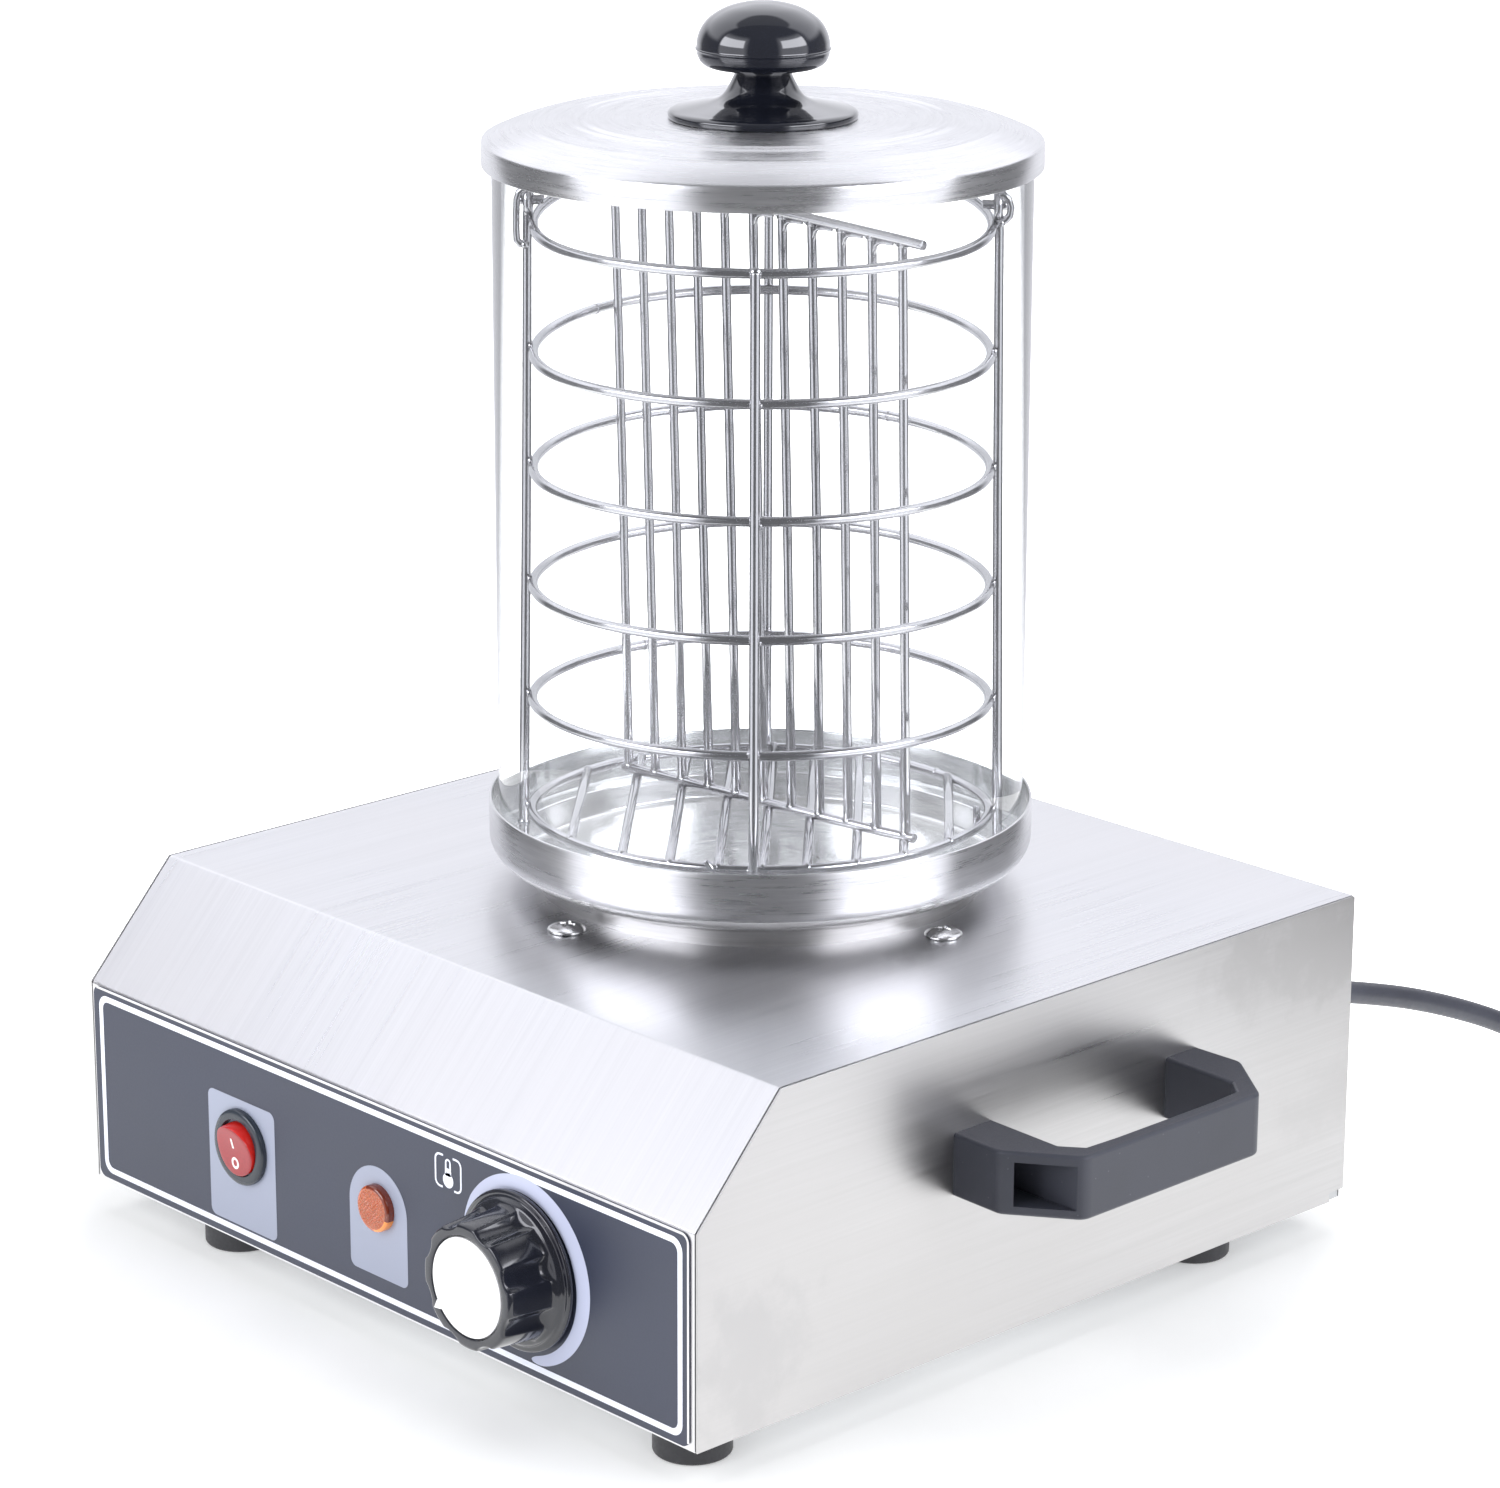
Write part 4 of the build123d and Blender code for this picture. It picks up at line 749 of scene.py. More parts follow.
# ----------------------------------------------------------------------
# Side panels, with a near-black plate behind the seam between them and the folded shell as painted shade
# ----------------------------------------------------------------------
yf, D2 = -137.5, 137.5
outline = [(yf, 0.0), (yf, 65.0), (yf + 31.5, 99.5), (D2, 99.5), (D2, 3.0), (D2 - 6.5, 3.0), (D2 - 6.5, 0.0)]
for side, nm in ((1, "right"), (-1, "left")):
    pt = Part()
    ol = rounded(outline, [0.5, 0.9, 0.9, 0.8, 0.5, 0.3, 0.3], 3)
    if side < 0:
        ol = ol[::-1]
    pt.loft([[(side * x, y, z) for y, z in ol] for x in (139.45, 140.0)])
    pt.build(f"side_sheet_{nm}", M["side"].mat, "base", (f"side_panel_{nm}",), bevel=0.16)
    # near-black plate between shell and side sheet, seen through the seam: painted shade in the gap
    pt = Part()
    inner = [(yf + 0.25, 0.2), (yf + 0.25, 64.9), (yf + 31.6, 99.25), (D2 - 0.25, 99.25), (D2 - 0.25, 3.2), (D2 - 6.7, 3.2), (D2 - 6.7, 0.2)]
    if side < 0:
        inner = inner[::-1]
    pt.loft([[(side * x, y, z) for y, z in inner] for x in (139.0, 139.46)])
    pt.build(f"side_seam_shade_{nm}", M["gap"].mat, "base")

# ----------------------------------------------------------------------
# Printed marks on the front overlay
# ----------------------------------------------------------------------
Z0, Z1 = 0.01, 0.05
pt = Part()
pt.band(rrect(-135.2, 134.6, 2.9, 62.2, 4.0), rrect(-133.3, 132.7, 4.8, 60.3, 2.6), Z0, Z1)
pt.build("overlay_border", M["line"].mat, "base", sharp=30)
# bare strip along the film's rim
pt = Part()
ro_ = [(-136.4, 64.5)] + arc(134.3, 61.5, 3.0, 90, 0, 8) + [(137.3, 2.2)]
ri_ = [(-136.4, 63.7)] + arc(134.3, 61.5, 2.2, 90, 0, 8) + [(136.5, 2.2)]
pt.band(ro_, ri_, Z0, Z1 - 0.01, closed=False)
pt.build("overlay_rim", M["housing"].mat, "base", sharp=30)
pt = Part()
pt.plate(rrect(-79.7, -47.0, 5.5, 46.9, 2.6), Z0, Z1)
arch = arc(2.15, 31.1, 13.35, 0, 180, 40) + arc(-11.2 + 2.5, 9.7 + 2.5, 2.5, 180, 270, 8) + arc(15.5 - 2.5, 9.7 + 2.5, 2.5, 270, 360, 8)
pt.plate(arch, Z0, Z1)
pt.build("overlay_plates", M["print"].mat, "base", sharp=30)
pt = Part()
cro, cri = [], []
nn = 96
for i in range(nn + 1):
    a = math.radians(166.0 - 247.0 * i / nn)
    ro, ri = 28.3, 24.6
    o = (68.0 + ro * math.cos(a), 32.5 + ro * math.sin(a))
    q = (66.0 + ri * math.cos(a), 31.2 + ri * math.sin(a))
    if i < 8:       # drawn to a point on the left
        s = (i / 8.0) ** 0.8
        mid = ((o[0] + q[0]) / 2, (o[1] + q[1]) / 2)
        o = (mid[0] + (o[0] - mid[0]) * max(s, 0.04), mid[1] + (o[1] - mid[1]) * max(s, 0.04))
        q = (mid[0] + (q[0] - mid[0]) * max(s, 0.04), mid[1] + (q[1] - mid[1]) * max(s, 0.04))
    if i > nn - 4:  # and rounded off below
        s = math.sqrt(max(1.0 - ((i - nn + 4) / 4.15) ** 2, 0.02))
        mid = ((o[0] + q[0]) / 2, (o[1] + q[1]) / 2)
        o = (mid[0] + (o[0] - mid[0]) * s, mid[1] + (o[1] - mid[1]) * s)
        q = (mid[0] + (q[0] - mid[0]) * s, mid[1] + (q[1] - mid[1]) * s)
    cro.append(o)
    cri.append(q)
pt.band(cro, cri, Z0 + 0.01, Z1 + 0.012, closed=False)
pt.build("overlay_dial_arc", M["crescent"].mat, "base", sharp=30)
# thermometer sign: two brackets, bulb and stem
pt = Part()


def bracket(sgn):
    cx = 34.75
    o = [(cx + sgn * 2.2, 57.5)] + [(cx + sgn * (6.0 - 2.2 + 2.2 * math.cos(math.radians(a))), 57.5 - 2.2 + 2.2 * math.sin(math.radians(a))) for a in range(90, -1, -15)]
    o += [(cx + sgn * (6.0 - 2.2 + 2.2 * math.cos(math.radians(a))), 47.0 + 2.2 + 2.2 * math.sin(math.radians(a))) for a in range(0, -91, -15)] + [(cx + sgn * 2.6, 47.0)]
    w = 0.62
    q = [(cx + sgn * 2.2, 57.5 - w)] + [(cx + sgn * (6.0 - 2.2 + (2.2 - w) * math.cos(math.radians(a))), 57.5 - 2.2 + (2.2 - w) * math.sin(math.radians(a))) for a in range(90, -1, -15)]
    q += [(cx + sgn * (6.0 - 2.2 + (2.2 - w) * math.cos(math.radians(a))), 47.0 + 2.2 + (2.2 - w) * math.sin(math.radians(a))) for a in range(0, -91, -15)] + [(cx + sgn * 2.6, 47.0 + w)]
    pt.band(o, q, Z0, Z1, closed=False)


bracket(-1)
bracket(1)
pt.plate(arc(34.7, 49.9, 2.3, 0, 350, 35), Z0, Z1)
so = [(36.1, 51.3)] + arc(34.7, 55.3, 1.25, 0, 180, 12) + [(33.3, 51.3)]
si = [(35.3, 51.3)] + arc(34.7, 55.3, 0.7, 0, 180, 12) + [(34.1, 51.3)]
pt.band(so, si, Z0, Z1, closed=False)
pt.plate([(35.6, 51.2), (35.45, 53.4), (34.7, 53.7), (33.95, 53.4), (33.8, 51.2)], Z0, Z1)
pt.build("overlay_sign", M["line"].mat, "base", sharp=30)


# ----------------------------------------------------------------------
# Rocker switch
# ----------------------------------------------------------------------
def sup(w, h, n, a):
    c, s = math.cos(a), math.sin(a)
    return 1.0 / ((abs(c) / w) ** n + (abs(s) / h) ** n) ** (1.0 / n)


NA = 112
ANG = [2 * math.pi * i / NA for i in range(NA)]


def ring_front(c, rad, p, y=FACE_Y):
    """Ring about a control's axis: rad(angle) outwards, p in front of the face."""
    return [(c[0] + rad(a) * math.cos(a), y - (p(a) if callable(p) else p), c[1] + rad(a) * math.sin(a)) for a in ANG]


op = lambda a: sup(8.9, 8.9, 2.05, a)
pt = Part()
rings = [ring_front(SWITCH, lambda a: 9.9, -22.0), ring_front(SWITCH, lambda a: 9.9, 0.0), ring_front(SWITCH, lambda a: 11.7, 0.0),
         ring_front(SWITCH, lambda a: 12.0, 0.25), ring_front(SWITCH, lambda a: 12.0, 1.2), ring_front(SWITCH, lambda a: 11.85, 1.65),
         ring_front(SWITCH, lambda a: 11.5, 1.98), ring_front(SWITCH, lambda a: 11.0, 2.15)]
for f in (0.6, 0.25, 0.07):
    rings.append(ring_front(SWITCH, lambda a, f=f: op(a) + (11.0 - op(a)) * f, 2.22))
rings += [ring_front(SWITCH, lambda a: op(a) + 0.1, 2.1), ring_front(SWITCH, op, 1.85), ring_front(SWITCH, lambda a: op(a) - 0.05, -8.5)]
pt.loft(rings)
for dx in (-1, 1):
    for dz in (-5.5, 5.5):
        x, z = SWITCH[0] + dx * 5, SWITCH[1] + dz
        pt.loft([[(x - 0.4, y, z - 2.4), (x + 0.4, y, z - 2.4), (x + 0.4, y, z + 2.4), (x - 0.4, y, z + 2.4)] for y in (FACE_Y + 21.5, FACE_Y + 31.0)])
pt.build("switch_bezel", M["bezel"].mat, "base", ("rocker_switch_body",), weld=False)

# rocker: two faces meeting in a shallow valley, turned 10 degrees at rest
PIV = Vector((SWITCH[0], FACE_Y - 0.5, SWITCH[1]))
RM = Matrix.Rotation(math.radians(10.0), 3, "X")
rk = lambda a: sup(8.3, 8.15, 2.1, a)


def face_p(z):
    return 3.0 + 1.0 * (z / 8.4) ** 2


def rk_ring(k, dp, base_p=None):
    out = []
    for a in ANG:
        x, z = rk(a) * k * math.cos(a), rk(a) * k * math.sin(a)
        p = face_p(z) + dp if base_p is None else base_p
        out.append(tuple(PIV + RM @ Vector((x, -p, z))))
    return out


pt = Part()
pt.loft([rk_ring(0.80, 0, -5.5), rk_ring(0.93, 0, -3.4), rk_ring(0.995, 0, -0.5), rk_ring(1.0, -0.55), rk_ring(0.992, -0.25)], mi=0, cap1=False)
pt.loft([rk_ring(0.992, -0.25), rk_ring(0.965, -0.07), rk_ring(0.93, 0.0), rk_ring(0.8, 0.0), rk_ring(0.6, 0.0), rk_ring(0.4, 0.0), rk_ring(0.2, 0.0),
         rk_ring(0.06, 0.0)], mi=1, cap0=False)
pt.build("rocker", [M["redgloss"].mat, M["red"].mat], "rocker", ("rocker_button",))
pt = Part()


def on_rocker(x, z, lift):
    return tuple(PIV + RM @ Vector((x, -(face_p(z) + lift), z)))


# bar mark
bar = rrect(-0.42, 0.42, 0.8, 4.4, 0.35, 3)
pt.loft([[on_rocker(x, z, q) for x, z in bar] for q in (0.0, 0.05)])
# ring mark
ringo = [(1.75 * math.cos(t), -4.1 + 1.9 * math.sin(t)) for t in [2 * math.pi * i / 32 for i in range(32)]]
ringi = [(0.95 * math.cos(t), -4.1 + 1.1 * math.sin(t)) for t in [2 * math.pi * i / 32 for i in range(32)]]
pt.loft([[on_rocker(x, z, 0.0) for x, z in ringo], [on_rocker(x, z, 0.05) for x, z in ringo],
         [on_rocker(x, z, 0.05) for x, z in ringi], [on_rocker(x, z, 0.0) for x, z in ringi]], cap0=False, cap1=False, close_v=True)
pt.build("rocker_marks", M["mark"].mat, "rocker")

# ----------------------------------------------------------------------
# Pilot lamp lens with a waffle face
# ----------------------------------------------------------------------
pt = Part()
rim = [(7.2, 0.0), (7.2, 1.9), (7.1, 2.2), (6.86, 2.52), (6.55, 2.72), (6.2, 2.82)]
pt.loft([ring_front((LAMP[0] + 0.5, LAMP[1]), lambda a, r=r: r, p) for r, p in rim], mi=1, cap1=False)
# the rim's faces by angle: upper right gets the dark amber as painted shade, lower right the bright amber as painted
# light, the rest the plain rim amber
for k in range(len(pt.m) - 1):
    dg = math.degrees(ANG[k % NA])
    pt.m[k] = 2 if (dg < 112 or dg > 338) else (3 if dg > 275 else 1)
rs = [6.2, 6.08, 5.95] + [5.75 - 0.2 * i for i in range(28)]
rings = []
for j, r in enumerate(rs):
    row = []
    for a in ANG:
        x, z = r * math.cos(a), r * math.sin(a)
        w = 0.0 if j < 2 else 0.42 * (abs(math.sin(math.pi * (x + z) / 1.7)) * abs(math.sin(math.pi * (x - z) / 1.7)) - 0.4)
        row.append((LAMP[0] + 0.5 + x, FACE_Y - (2.82 + 0.25 * (1 - (r / 6.2) ** 2) + w), LAMP[1] + z))
    rings.append(row)
pt.loft(rings, mi=0, cap0=False)
pt.build("lamp_lens", [M["amber"].mat, M["amberrim"].mat, M["amberdark"].mat, M["amberlit"].mat], "base", ("pilot_lamp_lens",), sharp=60)

# ----------------------------------------------------------------------
# Control knob: skirt, eight shallow flutes, white insert with its pointer
# ----------------------------------------------------------------------
NK = 320
ANG2 = [2 * math.pi * i / NK for i in range(NK)]


def flute(a):
    """Depth 0..1 of the eight round hollows between the lobes."""
    d = (a - math.radians(22.5)) % (math.pi / 4)
    d = min(d, math.pi / 4 - d)
    k = 24.6 * math.sin(d)
    if abs(k) > 6.75:
        return 0.0
    cut = 19.5 - (24.6 * math.cos(d) - math.sqrt(6.75 ** 2 - k * k))
    t = max(cut, 0.0) / 1.65
    return t * t / (t + 0.09) * 1.09


def knob_ring(p, R, d):
    return [(DIAL[0] + (R - d * flute(a)) * math.cos(a), FACE_Y - p, DIAL[1] + (R - d * flute(a)) * math.sin(a)) for a in ANG2]


kp = 20.5
pt = Part()
seq = [(0.9, 8.7, 0), (0.9, 23.3, 0), (1.15, 23.75, 0), (1.6, 24.0, 0), (2.2, 24.0, 0), (2.6, 23.85, 0), (2.85, 23.5, 0), (2.95, 22.9, 0),
       (3.0, 22.3, 0), (3.25, 21.95, 0), (3.8, 21.75, 0.0), (4.3, 21.45, 0.05), (4.6, 21.0, 0.15), (4.85, 20.6, 0.6), (5.3, 20.3, 1.3),
       (6.2, 20.05, 1.9), (8.0, 19.85, 2.1), (12.0, 19.45, 1.95), (16.0, 19.1, 1.75), (19.0, 18.85, 1.5), (19.8, 18.7, 1.35),
       (20.2, 18.45, 1.2), (20.42, 18.1, 1.05), (20.5, 17.6, 0.85), (20.5, 16.6, 0.25), (20.5, 15.75, 0.0), (20.42, 15.5, 0),
       (20.1, 15.3, 0), (19.4, 15.2, 0), (19.4, 8.0, 0)]
pt.loft([knob_ring(*q) for q in seq], cap0=False)
pt.loft([knob_ring(0.9, 8.7, 0), knob_ring(5.2, 8.6, 0), knob_ring(5.2, 3.3, 0)], cap0=False, cap1=True)
pt.build("dial_knob", M["knob"].mat, "knob", ("control_knob",))
pt = Part()
seq = [(19.45, 14.8), (20.3, 14.8), (20.42, 14.7), (20.49, 14.5), (20.5, 14.1), (20.5, 10.0), (20.5, 5.0), (20.5, 0.6)]
pt.loft([[(DIAL[0] + R * math.cos(a), FACE_Y - p, DIAL[1] + R * math.sin(a)) for a in ANG] for p, R in seq])
pa = math.radians(216)
pc, ps = math.cos(pa), math.sin(pa)
tri = []
for rr, hw in ((14.7, 1.5), (14.7, -1.5), (17.3, -0.12), (17.3, 0.12)):
    tri.append((DIAL[0] + rr * pc - hw * ps, DIAL[1] + rr * ps + hw * pc))
pt.plate(tri, 20.2, 20.62)
pt.build("dial_insert", M["disc"].mat, "knob", ("knob_face_disc",), weld=False)

# ----------------------------------------------------------------------
# Collar, tray, glass, lid, lid knob
# ----------------------------------------------------------------------
TRAY_Z0, SEAT_Z, TRAY_R, TRAY_ZR = 106.0, 115.0, 84.0, 126.7
pt = Part()
pt.lathe(rounded([(57.0, 99.5), (70.0, 99.5), (70.0, 104.7), (68.2, 105.0), (68.0, TRAY_Z0), (62.0, TRAY_Z0), (62.0, 100.5), (57.0, 100.5)],
                 [0, 0.0, 1.1, 0.2, 0.2, 0.5, 0.0, 0.2], 5))
# faces in the crevice under the tray get the near-black material: painted shadow
for k, fc in enumerate(pt.f):       # the crevice under the tray
    q = [pt.v[i] for i in fc]
    if all(p_[2] > 104.6 for p_ in q) and all(66.0 < math.hypot(p_[0], p_[1] - AXIS_Y) < 69.2 for p_ in q):
        pt.m[k] = 1
pt.build("collar_ring", [M["collar"].mat, M["gap"].mat], "base", ("heater_collar",))



def screw_head(pt, c, ez, ex, R, H, turn):
    """Low domed head with a cross recess, on a plane through c."""
    ez, ex, c = Vector(ez).normalized(), Vector(ex).normalized(), Vector(c)
    ey = ez.cross(ex)
    nu = 72
    rows = [(R - 0.35, 0.0, False), (R, 0.3, False), (R, 0.62, False), (R - 0.12, 0.85, False)]
    k = 30
    for i in range(k):
        r = (R - 0.35) * (1 - i / k)
        rows.append((r, 0.95 + (H - 0.95) * (1 - (r / (R - 0.35)) ** 2) ** 0.8, True))
    rings = []
    for r, h, top in rows:
        ring = []
        for q in range(nu):
            a = 2 * math.pi * q / nu
            x, y = r * math.cos(a - turn), r * math.sin(a - turn)
            hh = h
            if top:
                for u, w in ((x, y), (y, x)):
                    d = max(min((0.62 - abs(u)) / 0.22, 1.0), 0.0) * max(min((2.7 - abs(w)) / 0.5, 1.0), 0.0)
                    hh = min(hh, h - 1.05 * d)
            ring.append(tuple(c + ex * (r * math.cos(a)) + ey * (r * math.sin(a)) + ez * hh))
        rings.append(ring)
    pt.loft(rings)


pt = Part()
for q_ in (0, 90, 180, 270):
    c_ = polar(80.0, q_, 99.5)
    screw_head(pt, c_, (0, 0, 1), (1, 0, 0), 5.8, 2.35, math.radians(20 + q_ * 0.7))
    pt.tube([c_ + Vector((0, 0, 0.2)), c_ - Vector((0, 0, 9.0))], 2.2, seg=20)
    hx = [(c_.x + 4.1 * math.cos(math.radians(60 * i)), c_.y + 4.1 * math.sin(math.radians(60 * i))) for i in range(6)]
    pt.loft([[(x, y, z) for x, y in hx] for z in (94.5, 97.6)])
pt.build("collar_screw_heads", M["screw"].mat, "base", ("collar_screws",), sharp=42, weld=False)

tr_out = [(0, TRAY_Z0), (40.0, TRAY_Z0), (68.0, TRAY_Z0)] + arc(70.0, SEAT_Z, 14.0, -86, 0, 16, 9.0)
wall = [(TRAY_R, TRAY_ZR - 0.55), (TRAY_R - 0.14, TRAY_ZR - 0.18), (TRAY_R - 0.45, TRAY_ZR), (TRAY_R - 0.75, TRAY_ZR - 0.1), (TRAY_R - 0.95, TRAY_ZR - 0.45)]
inn = rounded([(TRAY_R - 1.0, TRAY_ZR - 0.6), (TRAY_R - 1.0, SEAT_Z), (75.6, SEAT_Z), (74.6, TRAY_Z0 + 1.2), (0, TRAY_Z0 + 1.2)],
              [0, 1.0, 0.8, 1.6, 0], 6)
pt = Part()
pt.lathe(tr_out + wall + inn)
# the floor's upper side gets the bright copy of the tray steel as painted light
for k, fc in enumerate(pt.f):       # the floor's upper side
    q = [pt.v[i] for i in fc]
    if all(p_[2] > TRAY_Z0 + 1.15 for p_ in q) and all(math.hypot(p_[0], p_[1] - AXIS_Y) < TRAY_R - 0.9 for p_ in q):
        pt.m[k] = 1
pt.build("tray_dish", [M["tray"].mat, M["trayin"].mat], "tray", ("tray",))

gl = rounded([(79.8, SEAT_Z), (81.0, SEAT_Z), (81.0, 330.1), (79.8, 330.1)], 0.5, 5)
pt = Part()
pt.lathe(gl, n=256)
pt.build("glass_tube", M["glass"].mat, "glass", ("glass_cylinder",))

lid_top = catmull([(83.55, 330.2), (80.0, 331.75), (75.0, 333.6), (71.2, 334.6), (70.3, 334.95), (69.4, 335.05), (68.4, 334.95), (64.0, 335.4), (59.3, 335.72),
                   (58.1, 335.95), (57.2, 336.3), (56.4, 336.32), (55.4, 336.0), (54.6, 335.9), (53.9, 336.1), (53.2, 336.4), (52.4, 336.45),
                   (51.4, 336.25), (49.0, 336.2), (40.0, 336.2), (28.0, 336.2)], 4)
lid_top = [(84.0, 322.75), (84.0, 328.9), (83.97, 329.4), (83.85, 329.85)] + lid_top + [(10.0, 336.2), (0, 336.2)]
lid_in = [(0, 335.4), (20.0, 335.4), (57.0, 335.15), (64.0, 334.6), (70.0, 333.9), (75.0, 332.7), (82.3, 329.8), (82.9, 329.5), (83.2, 329.0), (83.2, 322.75),
          (83.3, 322.57), (83.6, 322.5), (83.88, 322.57)]
pt = Part()
pt.lathe(lid_top + lid_in)
pt.build("lid_cover", M["lid"].mat, "lid", ("lid",), sharp=50)

kz = 336.2
lk_prof = catmull([(28.35, 0.45), (28.45, 1.1), (28.3, 1.95), (27.5, 2.55), (25.0, 3.1), (22.0, 3.7), (18.5, 4.4), (15.3, 5.1), (13.0, 6.1), (11.3, 7.9),
                   (10.0, 10.2), (9.0, 12.2), (8.4, 13.6), (8.6, 14.55), (9.8, 14.95), (13.0, 15.05), (16.2, 15.2), (17.8, 15.9), (19.0, 17.1), (19.75, 18.9), (19.95, 20.1), (20.22, 20.45), (20.25, 20.75), (20.0, 21.05),
                   (19.8, 23.0), (19.1, 25.4), (17.9, 27.6), (16.2, 29.5), (13.8, 31.2), (10.8, 32.7), (7.0, 33.8), (3.5, 34.4), (0.0, 34.5)], 4)
pt = Part()
pt.lathe([(0, kz), (27.9, kz), (28.2, kz + 0.15)] + [(r, kz + z) for r, z in lk_prof], n=160)
pt.build("lid_knob_turned", M["gloss"].mat, "lid", ("lid_knob",), sharp=55)

# ----------------------------------------------------------------------
# Wire basket
# ----------------------------------------------------------------------
RING_R, WIRE, UPR = 69.5, 1.5, 71.9
RING_Z = [124.2, 159.2, 194.3, 229.8, 264.4, 302.3]
EYE_Z, EYE_R, LEG_Z = 307.5, 71.5, 107.25
pt = Part()
for j, z in enumerate(RING_Z):
    pt.torus((0, AXIS_Y, z), RING_R, WIRE, n=160, seg=16)
# butt weld where each ring closes
for j, z in enumerate(RING_Z):
    c = polar(RING_R, 135 + 17 * ((j * 5) % 7 - 3), z)
    tdir = Vector((-(c.y - AXIS_Y), c.x, 0)).normalized()
    pt.blob(c, 1.75, 1.75, 1.1, ez=tdir)
pt.build("basket_hoops", M["wire"].mat, "basket", ("basket_rings",), weld=False)
pt = Part()
for deg in (45, 135, 225, 315):
    top = EYE_Z - 3.4 if deg in (45, 225) else RING_Z[-1] + 0.9
    pts_ = [polar(UPR, deg, LEG_Z), polar(UPR + 0.05, deg, 160), polar(UPR, deg, 230), polar(UPR, deg, top)]
    pt.tube(pts_, WIRE, seg=16)
    rad = (polar(1, deg) - polar(0, deg)).normalized()
    for j, z in enumerate(RING_Z):
        c = polar(70.7, deg, z + rnd.uniform(-0.25, 0.25))
        pt.blob(c, 1.15, 1.55 + rnd.uniform(0, 0.35), 1.75 + rnd.uniform(-0.2, 0.35), ez=(0, 0, 1), ex=rad)
        if rnd.random() < 0.55:
            tdir = rad.cross(Vector((0, 0, 1)))
            pt.blob(c + tdir * rnd.choice((-1.5, 1.5)) + Vector((0, 0, rnd.uniform(-1.0, 1.0))), 0.75, 0.7, 0.7)
    if deg in (45, 225):
        e = polar(EYE_R, deg, EYE_Z)
        pt.torus(e, 3.4, 1.35, ax=rad, n=40, seg=12)
        pt.blob(polar(UPR - 0.1, deg, EYE_Z - 3.6), 1.7, 1.7, 1.6)
        tow = Vector((math.sqrt(0.5), -math.sqrt(0.5), 0)) * 2.95
        o_ = lambda r, z: polar(r, deg, z) + tow
        if deg == 225:
            ear = [o_(71.6, 311.3), o_(72.9, 311.6), o_(74.3, 310.6), o_(74.95, 308.6), o_(75.1, 305.0), o_(75.1, 299.6), o_(74.9, 296.9),
                   o_(73.9, 295.6), o_(72.3, 295.3)]
        else:
            ear = [o_(71.6, 311.3), o_(73.0, 311.5), o_(74.6, 310.3), o_(75.4, 308.0), o_(75.0, 305.6), o_(73.8, 304.1), o_(72.2, 303.2)]
        pt.tube(ear, 1.15, seg=12)
        pt.blob(ear[-1], 1.5, 1.5, 1.3)
# spatter and a bead low on the left upright
pt.blob(polar(UPR, 225, 118.6), 1.9, 1.9, 1.7)
pt.blob(polar(UPR + 0.3, 222.8, 121.6), 1.0, 1.0, 1.0)
pt.build("basket_posts", M["wire"].mat, "basket", ("basket_uprights",), weld=False)

pt = Part()
RZ = RING_Z[0] + 0.3
dn = Vector((math.sqrt(0.5), -math.sqrt(0.5), 0))
dp_ = Vector((math.sqrt(0.5), math.sqrt(0.5), 0))
for i, off in enumerate([-55.5, -39.5, -25.0, -10.5, 2.5, 15.5, 30.0, 44.0, 57.5]):
    half = math.sqrt(RING_R ** 2 - off ** 2)
    c = Vector((0, AXIS_Y, RZ)) + dp_ * off
    a, b = c - dn * (half - 0.3), c + dn * (half - 0.3)
    pt.tube([a, a.lerp(b, 0.35), a.lerp(b, 0.7), b], WIRE, seg=14)
    for e in (a, b):
        pt.blob(e + Vector((0, 0, -0.1)), 1.75 + rnd.uniform(0, 0.3), 1.6, 1.7)
# loose wire ends left by the welder
e = Vector((0, AXIS_Y, RZ)) + dn * RING_R * 0.995 + dp_ * -12.6
pt.tube([e + Vector((-1.3, -0.9, 2.1)), e + Vector((1.1, 0.9, -1.6))], 0.95, seg=10)
for dd in (0.0, 1.5):
    q = polar(67.0, 33.0 + dd * 1.6, 0)
    pt.tube([Vector((q.x, q.y, 123.2)), Vector((q.x, q.y, 129.0 - dd * 0.6))], 0.8, seg=10)
pt.build("basket_floor", M["wire"].mat, "basket", ("basket_floor_grid",), weld=False)

# divider comb
pt = Part()
DR = math.radians(3.5)


def dv(x, y, z):
    return Vector((x * math.cos(DR) - y * math.sin(DR), AXIS_Y + x * math.sin(DR) + y * math.cos(DR), z))


